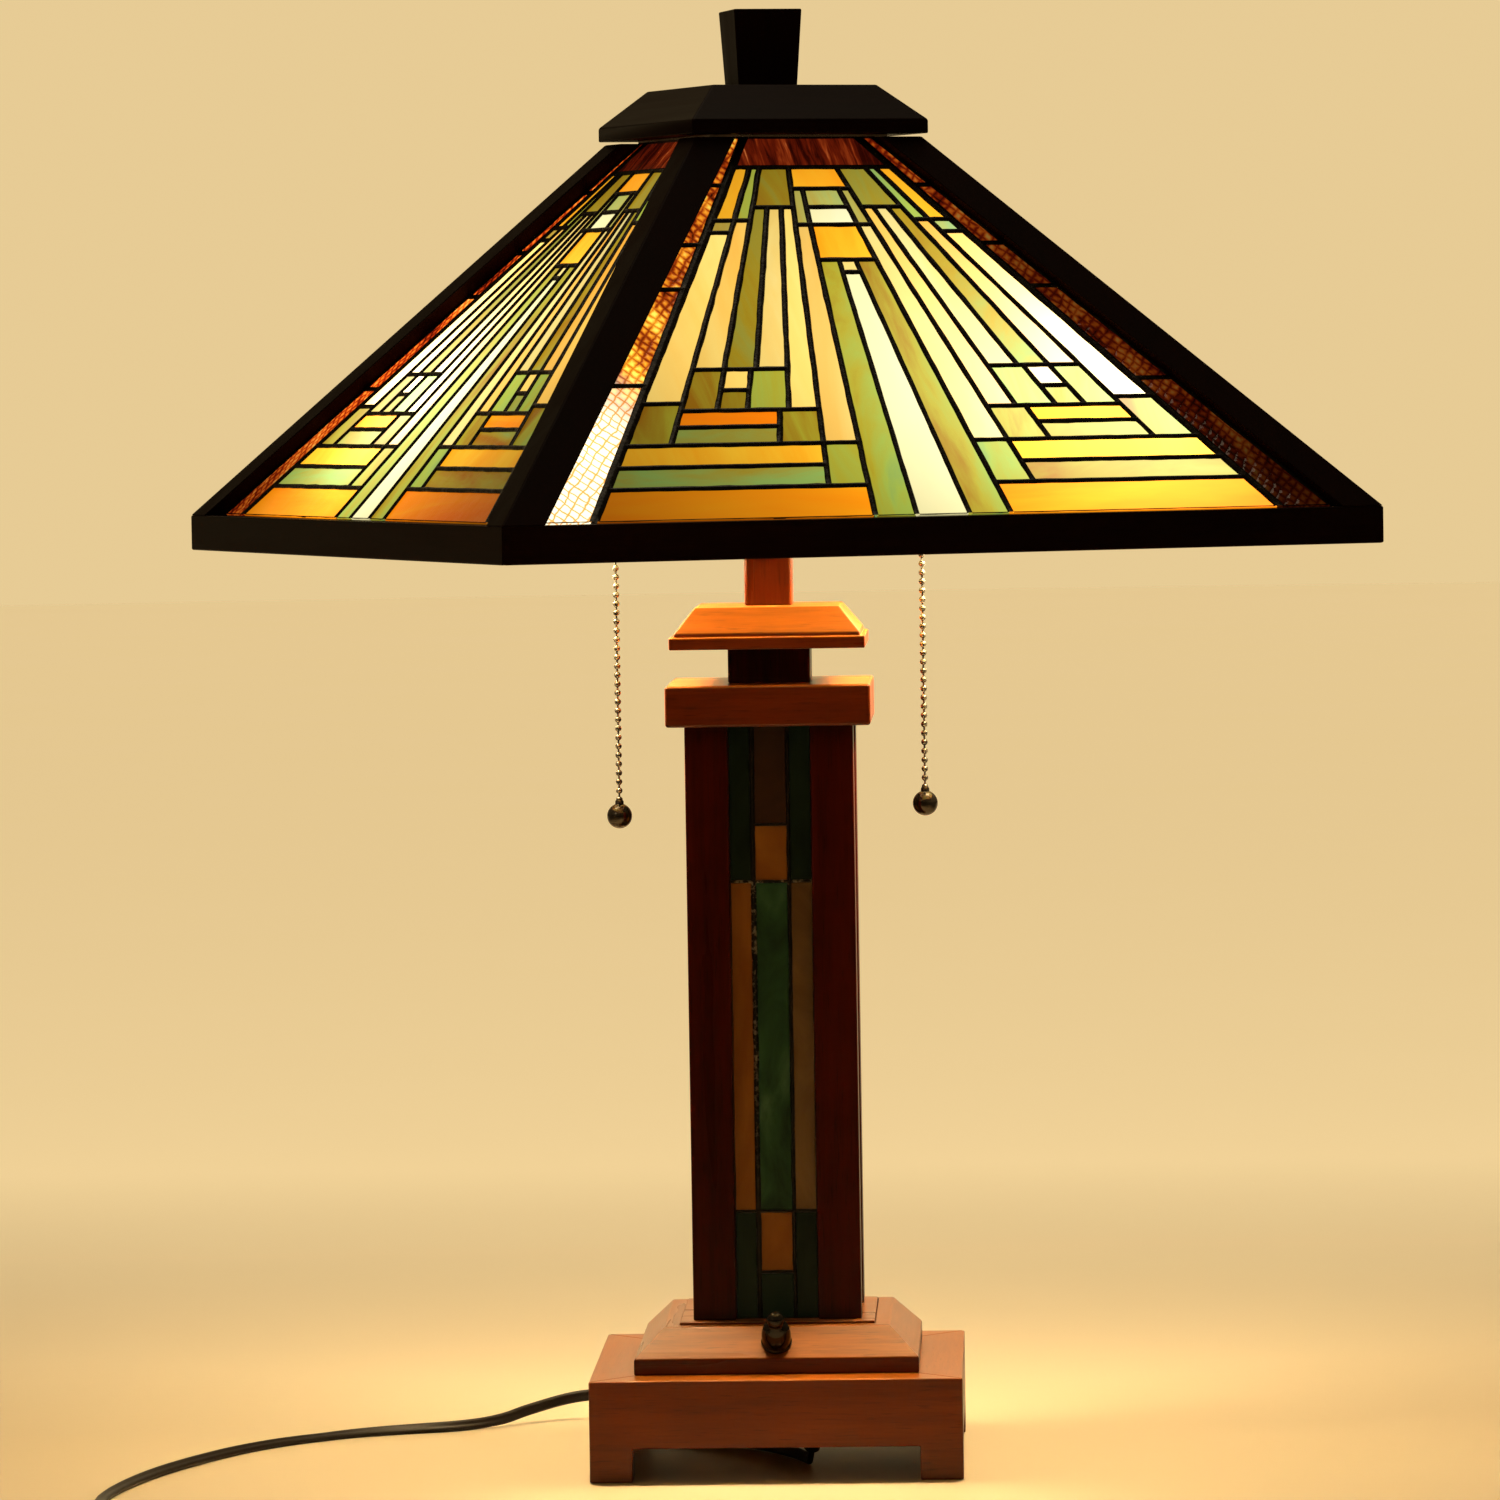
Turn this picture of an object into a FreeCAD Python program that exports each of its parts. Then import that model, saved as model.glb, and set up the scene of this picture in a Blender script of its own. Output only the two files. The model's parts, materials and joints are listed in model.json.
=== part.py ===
import FreeCAD, Part
import math
import os
from types import SimpleNamespace

import Sketcher
from FreeCAD import Placement, Rotation, Vector

# Table lamp with a square pyramid shade of leaded glass, a square column with a leaded glass
# panel on each face, and a stepped wood base. Millimetres, +Z up, -Y is the front. The origin
# is on the lamp's axis, at the underside of the feet.

SHEET_ROWS = [
    # base
    ("base_width", 174.0),
    ("base_height", 47.5),
    ("board_thickness", 21.0),
    ("foot_width", 20.0),
    ("foot_height", 15.7),
    ("deck_thickness", 6.0),
    ("panel_low", 27.0),
    ("panel_thickness", 5.0),
    ("glue_block_width", 16.0),
    ("screw_offset", 56.0),
    ("screw_radius", 1.9),
    ("screw_reach", 9.0),
    # step on the base
    ("step_width", 133.3),
    ("step_edge", 7.4),
    ("bevel_run", 13.6),
    ("step_height", 21.0),
    ("moulding_thickness", 8.0),
    ("centre_board_width", 91.7),
    ("centre_board_thickness", 6.0),
    ("centre_board_proud", 1.2),
    # rotary switch, measured along its own axis from the bevel
    ("collar_radius", 4.75),
    ("collar_reach", 3.2),
    ("switch_radius", 10.5),
    ("switch_length", 22.0),
    ("spindle_radius", 1.94),
    ("spindle_bore", 2.0),
    # column
    ("column_width", 79.2),
    ("column_height", 280.0),
    ("post_width", 20.3),
    ("glass_thickness", 3.0),
    ("column_glass_inset", 6.0),
    ("column_groove", 4.0),
    ("end_block_height", 12.0),
    ("night_light_offset", 17.9),
    # blocks above the column
    ("collar_width", 96.3),
    ("collar_height", 19.5),
    ("neck_width", 38.8),
    ("neck_height", 16.7),
    ("upper_width", 91.9),
    ("upper_edge", 5.7),
    ("quirk_inset", 2.3),
    ("quirk_height", 1.7),
    ("upper_flat", 67.8),
    ("upper_height", 19.5),
    ("stem_width", 22.4),
    ("stem_height", 23.2),
    ("edge_radius", 1.6),
    # pipe, nuts and washers
    ("pipe_radius", 4.8),
    ("pipe_bore", 3.2),
    ("pipe_low", 33.0),
    ("pipe_high", 672.0),
    ("running_gap", 0.08),
    ("nut_height", 6.0),
    ("nut_radius", 9.0),
    ("washer_thickness", 1.5),
    ("washer_radius", 12.0),
    ("check_ring_radius", 15.5),
    # sockets and bulbs, on a horizontal line through the cluster body
    ("lamp_height", 464.0),
    ("socket_start", 30.0),
    ("socket_length", 54.0),
    ("socket_radius", 17.0),
    ("chain_offset", 72.6),
    ("spout_low", 438.0),
    ("bulb_centre", 118.0),
    ("bulb_radius", 24.0),
    # pull chains
    ("bead_radius", 1.6),
    ("chain_top", 433.8),
    ("ball_radius", 6.0),
    ("left_ball_height", 306.0),
    ("right_ball_height", 310.2),
    # shade
    ("shade_yaw", 24.5),
    ("shade_width", 431.6),
    ("apron_low", 432.9),
    ("apron_size", 17.0),
    ("frame_top", 624.6),
    ("frame_top_width", 114.6),
    ("stile_width", 20.5),
    ("shade_glass_inset", 10.5),
    ("shade_glass_run", 4.05),
    ("shade_groove", 5.0),
    ("top_board_thickness", 12.6),
    ("plate_width", 90.0),
    ("plate_thickness", 1.4),
    # cap and finial
    ("cap_width", 119.4),
    ("cap_edge", 6.5),
    ("cap_flat", 83.0),
    ("cap_height", 23.4),
    ("finial_yaw", 15.3),
    ("finial_foot", 28.3),
    ("finial_head", 32.7),
    ("finial_height", 36.6),
    # cord
    ("cord_diameter", 5.6),
    ("relief_taper", 20.0),
    ("relief_length", 33.0),
    ("relief_radius", 5.2),
    ("coil_outer_radius", 39.7),
    ("coil_inner_radius", 22.2),
    ("coil_height", 6.4),
    ("plug_length", 28.0),
    ("plug_width", 24.0),
    ("plug_height", 14.0),
    ("blade_length", 17.0),
    ("blade_height", 6.3),
    ("blade_thickness", 1.5),
    ("blade_spacing", 12.7),
]

# Route of the cord's centre line, from the tail of the strain relief to the coil.
CORD_ROUTE = [
    Vector(15.2, -38.2, 9),
    Vector(14.1, -34, 2.8),
    Vector(11.5, -26, 2.8),
    Vector(7, -14, 2.8),
    Vector(0, 0, 2.8),
    Vector(-9, 13, 2.8),
    Vector(-21, 24, 2.8),
    Vector(-35, 33, 2.8),
    Vector(-47, 45, 2.8),
    Vector(-55, 60, 2.8),
    Vector(-58.5, 78, 3.6),
    Vector(-60.5, 96, 6),
    Vector(-67, 111, 9.5),
    Vector(-78.5, 121, 12),
    Vector(-92.7, 125.9, 13),
    Vector(-107.7, 124.8, 11.6),
    Vector(-121.8, 118, 8.6),
    Vector(-134.5, 107, 5.9),
    Vector(-150, 95, 4.4),
    Vector(-167, 88, 3.5),
    Vector(-186, 83, 3.1),
    Vector(-206.5, 75, 2.8),
    Vector(-228, 60.5, 2.8),
    Vector(-247, 42, 2.8),
    Vector(-264.5, 16, 2.8),
    Vector(-280, -16, 2.8),
    Vector(-295, -54, 2.8),
    Vector(-305.5, -96, 2.8),
    Vector(-311, -137, 2.8),
    Vector(-304, -176, 2.8),
    Vector(-292, -204, 2.8),
    Vector(-279.5, -224, 2.8),
]
COIL_CENTRE = Vector(-310, -250, 0)
PLUG_REAR = Vector(-291, -283, 0)
CORNER_SHARE = 0.45

PAST = 1.0  # how far a cutting tool runs past the faces that it opens

UPRIGHT = Placement(Vector(), Rotation(Vector(1, 0, 0), 90))
SIDES = ["front", "right", "back", "left"]
CORNERS = ["front_left", "front_right", "back_right", "back_left"]

doc = FreeCAD.newDocument("lamp")
nodes = {}


class Dimension:
    """A number together with the spreadsheet formula that gives it."""

    def __init__(self, value, formula):
        self.value = value
        self.formula = formula

    def __add__(self, other):
        other = as_dimension(other)
        return Dimension(self.value + other.value, f"({self.formula} + {other.formula})")

    def __sub__(self, other):
        other = as_dimension(other)
        return Dimension(self.value - other.value, f"({self.formula} - {other.formula})")

    def __mul__(self, other):
        other = as_dimension(other)
        return Dimension(self.value * other.value, f"({self.formula} * {other.formula})")

    def __truediv__(self, other):
        other = as_dimension(other)
        return Dimension(self.value / other.value, f"({self.formula} / {other.formula})")

    def __rsub__(self, other):
        return as_dimension(other) - self

    def __neg__(self):
        return 0 - self

    __radd__ = __add__
    __rmul__ = __mul__


def as_dimension(amount):
    if isinstance(amount, Dimension):
        return amount
    return Dimension(float(amount), f"{float(amount):.4f}")


def fill_sheet():
    """Puts the driving dimensions in the spreadsheet and returns them by name."""
    sheet = doc.addObject("Spreadsheet::Sheet", "Size")
    for row, (alias, value) in enumerate(SHEET_ROWS, start=1):
        sheet.set(f"A{row}", alias)
        sheet.set(f"B{row}", str(value))
        sheet.setAlias(f"B{row}", alias)
    doc.recompute()
    named = {alias: Dimension(float(sheet.get(alias)), f"Size.{alias}") for alias, _ in SHEET_ROWS}
    return SimpleNamespace(**named)


size = fill_sheet()

# Heights and half widths that several pieces share.
half_base = size.base_width / 2
inner_base = half_base - size.board_thickness
deck_low = size.base_height - size.deck_thickness
panel_high = size.panel_low + size.panel_thickness
step_top = size.base_height + size.step_height
half_step = size.step_width / 2
column_low = step_top + size.centre_board_proud
column_high = column_low + size.column_height
half_column = size.column_width / 2
collar_high = column_high + size.collar_height
neck_high = collar_high + size.neck_height
upper_high = neck_high + size.upper_height
stem_high = upper_high + size.stem_height
ring_high = stem_high + size.washer_thickness
apron_high = size.apron_low + size.apron_size
half_shade = size.shade_width / 2
half_top = size.frame_top_width / 2
running_bore = size.pipe_radius + size.running_gap
cap_low = size.frame_top + size.plate_thickness
cap_high = cap_low + size.cap_height
cluster_high = size.lamp_height + 17


def bind(item, name, amount):
    item.setExpression(name, as_dimension(amount).formula)


def keep(name, item, turn=0.0):
    """Makes item the node called name, turned about the lamp's axis."""
    item.Label = name
    item.Placement = Placement(Vector(), Rotation(Vector(0, 0, 1), turn)) * item.Placement
    nodes[name] = item
    return item


def wedge(name, low, high, foot, head=None, turn=0.0):
    """A block from height low to high. foot and head are its (x0, x1, y0, y1) there."""
    head = head or foot
    item = doc.addObject("Part::Wedge", name)
    bind(item, "Ymin", low)
    bind(item, "Ymax", high)
    bind(item, "Xmin", foot[0])
    bind(item, "Xmax", foot[1])
    bind(item, "Zmin", -foot[3])
    bind(item, "Zmax", -foot[2])
    bind(item, "X2min", head[0])
    bind(item, "X2max", head[1])
    bind(item, "Z2min", -head[3])
    bind(item, "Z2max", -head[2])
    item.Placement = Placement(Vector(), Rotation(Vector(0, 0, 1), turn)) * UPRIGHT
    return item


def square(half):
    return (-half, half, -half, half)


def cylinder(name, radius, low, high, x=0.0, y=0.0):
    item = doc.addObject("Part::Cylinder", name)
    bind(item, "Radius", radius)
    bind(item, "Height", high - low)
    bind(item, "Placement.Base.x", x)
    bind(item, "Placement.Base.y", y)
    bind(item, "Placement.Base.z", low)
    return item


def fuse(name, pieces):
    item = doc.addObject("Part::MultiFuse", name)
    item.Shapes = pieces
    item.Refine = True
    return item


def cut(name, base, tools):
    item = doc.addObject("Part::Cut", name)
    item.Base = base
    item.Tool = tools[0] if len(tools) == 1 else fuse(f"{name}_tool", tools)
    return item


def group(name, solids):
    """Identical pieces that share one node, as separate solids."""
    item = doc.addObject("Part::Compound", name)
    item.Links = solids
    return item


def origin_plane(body, role):
    return next(part for part in body.Origin.OriginFeatures if part.Role == role)


def outline(body, name, role, points):
    """A closed sketch of straight lines, each corner held by two driven distances."""
    sketch = body.newObject("Sketcher::SketchObject", name)
    sketch.AttachmentSupport = (origin_plane(body, role), "")
    sketch.MapMode = "FlatFace"
    corners = [(as_dimension(across), as_dimension(along)) for across, along in points]
    places = [Vector(across.value, along.value, 0) for across, along in corners]
    count = len(places)
    for index in range(count):
        sketch.addGeometry(Part.LineSegment(places[index], places[(index + 1) % count]), False)
    for index in range(count):
        sketch.addConstraint(Sketcher.Constraint("Coincident", index, 2, (index + 1) % count, 1))
    for index, (across, along) in enumerate(corners):
        hold(sketch, index, "DistanceX", across, -2)
        hold(sketch, index, "DistanceY", along, -1)
    return sketch


def hold(sketch, line, kind, amount, axis):
    """Holds the start of a line at a driven distance from the origin, or on the axis itself."""
    if amount.value == 0:
        sketch.addConstraint(Sketcher.Constraint("PointOnObject", line, 1, axis))
        return
    number = sketch.addConstraint(Sketcher.Constraint(kind, -1, 1, line, 1, amount.value))
    sketch.setExpression(f"Constraints[{number}]", amount.formula)


def padded(name, points, height, low=0.0):
    """A body whose outline, seen from above, is padded upwards from the height low."""
    body = doc.addObject("PartDesign::Body", name)
    sketch = outline(body, f"{name}_outline", "XY_Plane", points)
    pad = body.newObject("PartDesign::Pad", f"{name}_pad")
    pad.Profile = sketch
    bind(pad, "Length", height)
    bind(body, "Placement.Base.z", low)
    return body


def turned(name, points):
    """A body of revolution about Z, from an outline of (radius, height) corners."""
    body = doc.addObject("PartDesign::Body", name)
    sketch = outline(body, f"{name}_outline", "XZ_Plane", points)
    feature = body.newObject("PartDesign::Revolution", f"{name}_turn")
    feature.Profile = sketch
    feature.ReferenceAxis = (sketch, ["V_Axis"])
    feature.Angle = 360
    return body


def corners_of(half):
    return [(-half, -half), (half, -half), (half, half), (-half, half)]


def is_upright(edge):
    first, last = edge.Vertexes[0].Point, edge.Vertexes[-1].Point
    return abs(first.z - last.z) > 1 and abs(first.x - last.x) + abs(first.y - last.y) < 0.01


def rounded_block(name, width, low, high, bore, all_edges=False):
    """A square wood block on the lamp's axis, with rounded edges and the pipe's hole."""
    body = padded(f"{name}_block", corners_of(width / 2), high - low, low)
    doc.recompute()
    pad = body.Tip
    edges = [
        f"Edge{number}"
        for number, edge in enumerate(pad.Shape.Edges, start=1)
        if all_edges or is_upright(edge)
    ]
    rounding = body.newObject("PartDesign::Fillet", f"{name}_rounding")
    rounding.Base = (pad, edges)
    bind(rounding, "Radius", size.edge_radius)
    return keep(name, cut(name, body, [cylinder(f"{name}_hole", bore, low - PAST, high + PAST)]))


# ---------------------------------------------------------------- base


def base_board(side, turn):
    """A mitred board with the notch that leaves a foot at each end."""
    plan = [
        (-half_base, -half_base),
        (half_base, -half_base),
        (inner_base, -inner_base),
        (-inner_base, -inner_base),
    ]
    body = padded(f"base_{side}_board", plan, size.base_height)
    half_gap = half_base - size.foot_width
    notch = [
        (-half_gap, 0),
        (half_gap, 0),
        (half_gap, size.foot_height),
        (-half_gap, size.foot_height),
    ]
    sketch = outline(body, f"notch_{side}", "XZ_Plane", notch)
    pocket = body.newObject("PartDesign::Pocket", f"notch_{side}_pocket")
    pocket.Profile = sketch
    pocket.Type = "ThroughAll"
    pocket.Reversed = True
    keep(f"base_{side}_board", body, turn)


def base_deck():
    """Deck inside the boards, flush with their tops, open where the switch passes."""
    deck = wedge("deck_blank", deck_low, size.base_height, square(inner_base))
    switch_gap = wedge(
        "deck_switch_gap", deck_low - PAST, size.base_height + PAST, (-12.5, 12.5, -62, -24)
    )
    pipe_hole = cylinder("deck_pipe_hole", size.pipe_radius, deck_low - PAST, size.base_height + PAST)
    keep("base_deck", cut("base_deck", deck, [switch_gap, pipe_hole]))


def screw_places():
    offset = size.screw_offset
    return [(-offset, -offset), (offset, -offset), (offset, offset), (-offset, offset)]


def relief_place():
    """The strain relief's axis, from its tail back up along the cord."""
    tail = CORD_ROUTE[0]
    return Placement(tail, Rotation(Vector(0, 0, 1), tail - CORD_ROUTE[1]))


def panel_cord_hole():
    hole = doc.addObject("Part::Cylinder", "panel_cord_hole")
    bind(hole, "Radius", size.relief_radius)
    bind(hole, "Height", size.relief_length)
    hole.Placement = relief_place()
    return hole


def base_bottom_panel():
    """Panel that closes the base from below, with holes for its screws and the cord."""
    blank = wedge("panel_blank", size.panel_low, panel_high, square(inner_base))
    low, high = size.panel_low - PAST, panel_high + PAST
    holes = [
        cylinder(f"panel_hole_{number}", size.screw_radius, low, high, x, y)
        for number, (x, y) in enumerate(screw_places())
    ]
    holes.append(panel_cord_hole())
    keep("base_bottom_panel", cut("base_bottom_panel", blank, holes))


def corner_blocks():
    """Four glue blocks between the panel and the deck, drilled for the screws."""
    inner = inner_base - size.glue_block_width
    blocks = []
    for number in range(4):
        plan = (-inner_base, -inner, -inner_base, -inner)
        blank = wedge(f"glue_blank_{number}", panel_high, deck_low, plan)
        hole = cylinder(
            f"glue_hole_{number}",
            size.screw_radius,
            panel_high - PAST,
            panel_high + size.screw_reach,
            -size.screw_offset,
            -size.screw_offset,
        )
        block = cut(f"glue_block_{number}", blank, [hole])
        block.Placement = Placement(Vector(), Rotation(Vector(0, 0, 1), 90 * number))
        blocks.append(block)
    keep("corner_blocks", group("corner_blocks", blocks))


def bottom_screws():
    """Wood screws with flat heads under the panel."""
    screws = []
    tip = panel_high + size.screw_reach
    for number, (x, y) in enumerate(screw_places()):
        shank = cylinder(f"shank_{number}", size.screw_radius, size.panel_low, tip, x, y)
        head = cylinder(f"head_{number}", size.screw_radius * 2, size.panel_low - 1.6, size.panel_low, x, y)
        screws.append(fuse(f"screw_{number}", [shank, head]))
    keep("bottom_screws", group("bottom_screws", screws))


def moulding(number):
    """One side of the step: a bevelled moulding mitred at both ends."""
    low, edge_top, top = size.base_height, size.base_height + size.step_edge, step_top
    inner = size.centre_board_width / 2
    bevel_end = half_step - size.bevel_run
    shift = math.sqrt(2) * size.moulding_thickness
    edge = wedge(
        f"moulding_edge_{number}",
        low,
        edge_top,
        (-half_step, half_step, -half_step, -inner),
        (-half_step, half_step, -half_step, -inner),
    )
    bevel = wedge(
        f"moulding_bevel_{number}",
        edge_top,
        top,
        (-half_step, half_step, -half_step, -inner),
        (-bevel_end, bevel_end, -bevel_end, -inner),
    )
    blank = fuse(f"moulding_blank_{number}", [edge, bevel])
    # the hollow's sloping face is parallel to the bevel
    hollow_foot = half_step - (shift - size.step_edge)
    hollow_top = top - 4.0
    hollow_head = hollow_foot - (hollow_top - low)
    hollow = wedge(
        f"moulding_hollow_{number}",
        low,
        hollow_top,
        square(hollow_foot),
        square(hollow_head),
    )
    core = wedge(f"moulding_core_{number}", low - PAST, top + PAST, square(inner))
    mitre = mitre_sides(f"moulding_mitre_{number}", low - PAST, top + PAST, half_step + PAST)
    return cut(f"moulding_{number}", blank, [hollow, core] + mitre)


def mitre_sides(name, low, high, reach):
    """Two prisms that take away what lies outside the front quarter of the lamp."""
    pieces = []
    for side, sign in (("left", -1), ("right", 1)):
        plan = [(0, 0), (sign * reach, -reach), (sign * reach, reach)]
        pieces.append(padded(f"{name}_{side}", plan, high - low, low))
    return pieces


def switch_place():
    """The switch's axis: out through the middle of the front bevel, square to it."""
    y = -(half_step.value - size.bevel_run.value / 2)
    z = size.base_height.value + size.step_edge.value + size.bevel_run.value / 2
    return Placement(Vector(0, y, z), Rotation(Vector(1, 0, 0), 45))


def switch_hole():
    depth = size.moulding_thickness.value + PAST
    hole = doc.addObject("Part::Cylinder", "switch_hole")
    bind(hole, "Radius", size.collar_radius)
    bind(hole, "Height", size.moulding_thickness + 2 * PAST)
    hole.Placement = switch_place() * Placement(Vector(0, 0, -depth), Rotation())
    return hole


def step_mouldings():
    sides = []
    for number in range(4):
        piece = moulding(number)
        if number == 0:
            piece = cut("moulding_front", piece, [switch_hole()])
        piece.Placement = Placement(Vector(), Rotation(Vector(0, 0, 1), 90 * number))
        sides.append(piece)
    keep("step_mouldings", group("step_mouldings", sides))


def step_centre_board():
    """Board inside the mouldings, with a glued core that stands on the deck."""
    half = size.centre_board_width / 2
    board = wedge("centre_board", column_low - size.centre_board_thickness, column_low, square(half))
    core = wedge(
        "centre_core",
        size.base_height,
        column_low - size.centre_board_thickness,
        (-38, 38, -18, 38),
    )
    both = fuse("centre_blank", [board, core])
    hole = cylinder("centre_hole", size.pipe_radius, size.base_height - PAST, column_low + PAST)
    keep("step_centre_board", cut("step_centre_board", both, [hole]))


def rotary_switch():
    """Body with a threaded collar, ring nut and knob, on the switch's own axis."""
    back = -size.moulding_thickness - size.switch_length
    floor = -size.moulding_thickness + 1
    body = turned(
        "switch_body",
        [
            (0, back),
            (size.switch_radius, back),
            (size.switch_radius, -size.moulding_thickness),
            (size.collar_radius, -size.moulding_thickness),
            (size.collar_radius, size.collar_reach),
            (size.spindle_bore, size.collar_reach),
            (size.spindle_bore, floor),
            (0, floor),
        ],
    )
    nut = turned(
        "switch_nut",
        [
            (size.collar_radius, 0),
            (size.collar_radius + 2.4, 0),
            (size.collar_radius + 2.4, 1.4),
            (size.collar_radius + 1.8, 2),
            (size.collar_radius, 2),
        ],
    )
    knob = turned(
        "switch_knob",
        [
            (0, floor + 1),
            (size.spindle_radius, floor + 1),
            (size.spindle_radius, size.collar_reach + 0.3),
            (4.9, size.collar_reach + 0.3),
            (6.3, 5.2),
            (6.8, 7.4),
            (6.6, 9.6),
            (5.6, 11.8),
            (3.9, 13.6),
            (3.1, 14.8),
            (3.6, 16),
            (3.8, 17.4),
            (3.4, 19),
            (2.2, 20.2),
            (0, 20.7),
        ],
    )
    for name, item in (("switch_body", body), ("switch_nut", nut), ("switch_knob", knob)):
        item.Placement = switch_place()
        keep(name, item)


# ---------------------------------------------------------------- column


def column_panel(name, turn):
    outer = half_column - size.column_glass_inset
    half = half_column - size.post_width + size.column_groove
    plan = (-half, half, -outer, -(outer - size.glass_thickness))
    return wedge(name, column_low, column_high, plan, turn=turn)


def column():
    """Four grooved posts with a glass panel between each two."""
    inner = half_column - size.post_width
    for number, corner in enumerate(CORNERS):
        plan = (-half_column, -inner, -half_column, -inner)
        blank = wedge(f"post_blank_{number}", column_low, column_high, plan)
        grooves = [column_panel(f"groove_{number}_a", 0), column_panel(f"groove_{number}_b", -90)]
        keep(f"column_post_{corner}", cut(f"column_post_{corner}", blank, grooves), 90 * number)
    for number, side in enumerate(SIDES):
        keep(f"column_glass_{side}", column_panel(f"column_glass_{side}", 0), 90 * number)


def column_end_blocks():
    """Cross-shaped spacers between the posts, at both ends of the column."""
    arm = half_column - size.column_glass_inset - size.glass_thickness
    waist = half_column - size.post_width
    cross = [
        (-waist, -arm),
        (waist, -arm),
        (waist, -waist),
        (arm, -waist),
        (arm, waist),
        (waist, waist),
        (waist, arm),
        (-waist, arm),
        (-waist, waist),
        (-arm, waist),
        (-arm, -waist),
        (-waist, -waist),
    ]
    blocks = []
    for end, low in (("lower", column_low), ("upper", column_high - size.end_block_height)):
        high = low + size.end_block_height
        blank = padded(f"{end}_cross", cross, size.end_block_height, low)
        hole = cylinder(f"{end}_cross_hole", size.pipe_radius, low - PAST, high + PAST)
        blocks.append(cut(f"{end}_end_block", blank, [hole]))
    keep("column_end_blocks", group("column_end_blocks", blocks))


def night_light():
    """A small socket and bulb behind the pipe, inside the column."""
    low = column_low + size.end_block_height
    socket = turned("night_light_socket", [(0, 0), (10.5, 0), (10.5, 30), (9.3, 30), (9.3, 8), (0, 8)])
    stem = cylinder("night_bulb_base", 6, 8, 36)
    neck = doc.addObject("Part::Cone", "night_bulb_neck")
    neck.Radius1, neck.Radius2, neck.Height = 6, 9.6, 16
    neck.Placement.Base = Vector(0, 0, 34)
    globe = doc.addObject("Part::Sphere", "night_bulb_globe")
    globe.Radius = 10.8
    globe.Placement.Base = Vector(0, 0, 55)
    bulb = fuse("night_light_bulb", [stem, neck, globe])
    for name, item in (("night_light_socket", socket), ("night_light_bulb", bulb)):
        bind(item, "Placement.Base.y", size.night_light_offset)
        bind(item, "Placement.Base.z", low)
        nodes[name] = item
        item.Label = name


# ---------------------------------------------------------------- blocks above the column


def upper_step():
    """Stepped block under the shade: a square edge, a quirk and a bevel."""
    half = size.upper_width / 2
    quirk = half - size.quirk_inset
    edge_high = neck_high + size.upper_edge
    quirk_high = edge_high + size.quirk_height
    edge = wedge("upper_edge", neck_high, edge_high, square(half))
    waist = wedge("upper_quirk", edge_high, quirk_high, square(quirk))
    bevel = wedge("upper_bevel", quirk_high, upper_high, square(quirk), square(size.upper_flat / 2))
    blank = fuse("upper_blank", [edge, waist, bevel])
    hole = cylinder("upper_hole", size.pipe_radius, neck_high - PAST, upper_high + PAST)
    keep("upper_step", cut("upper_step", blank, [hole]))


def blocks():
    rounded_block("collar_block", size.collar_width, column_high, collar_high, size.pipe_radius, True)
    rounded_block("neck_block", size.neck_width, collar_high, neck_high, size.pipe_radius)
    upper_step()
    rounded_block("stem_block", size.stem_width, upper_high, stem_high, size.pipe_radius)


# ---------------------------------------------------------------- pipe and light


def lamp_pipe():
    outside = cylinder("pipe_outside", size.pipe_radius, size.pipe_low, size.pipe_high)
    inside = cylinder("pipe_inside", size.pipe_bore, size.pipe_low - PAST, size.pipe_high + PAST)
    keep("lamp_pipe", cut("lamp_pipe", outside, [inside]))


def shade_seat():
    """Height of the washer's top, on which the shade rests."""
    return size.frame_top - size.top_board_thickness


def pipe_nuts():
    """Hexagon nuts: under the deck, on the cluster body and under the shade."""
    lows = [
        deck_low - size.washer_thickness - size.nut_height,
        cluster_high,
        shade_seat() - size.washer_thickness - size.nut_height,
    ]
    nuts = []
    for number, low in enumerate(lows):
        blank = doc.addObject("Part::Prism", f"nut_blank_{number}")
        blank.Polygon = 6
        bind(blank, "Circumradius", size.nut_radius)
        bind(blank, "Height", size.nut_height)
        bind(blank, "Placement.Base.z", low)
        hole = cylinder(f"nut_hole_{number}", size.pipe_radius, low - PAST, low + size.nut_height + PAST)
        nuts.append(cut(f"nut_{number}", blank, [hole]))
    keep("pipe_nuts", group("pipe_nuts", nuts))


def pipe_washers():
    """Washers: under the deck, the wide check ring on the stem, and under the shade."""
    rows = [
        (deck_low - size.washer_thickness, size.washer_radius),
        (stem_high, size.check_ring_radius),
        (shade_seat() - size.washer_thickness, size.washer_radius),
    ]
    washers = []
    for number, (low, radius) in enumerate(rows):
        blank = cylinder(f"washer_blank_{number}", radius, low, low + size.washer_thickness)
        hole = cylinder(
            f"washer_hole_{number}", size.pipe_radius, low - PAST, low + size.washer_thickness + PAST
        )
        washers.append(cut(f"washer_{number}", blank, [hole]))
    keep("pipe_washers", group("pipe_washers", washers))


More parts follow.
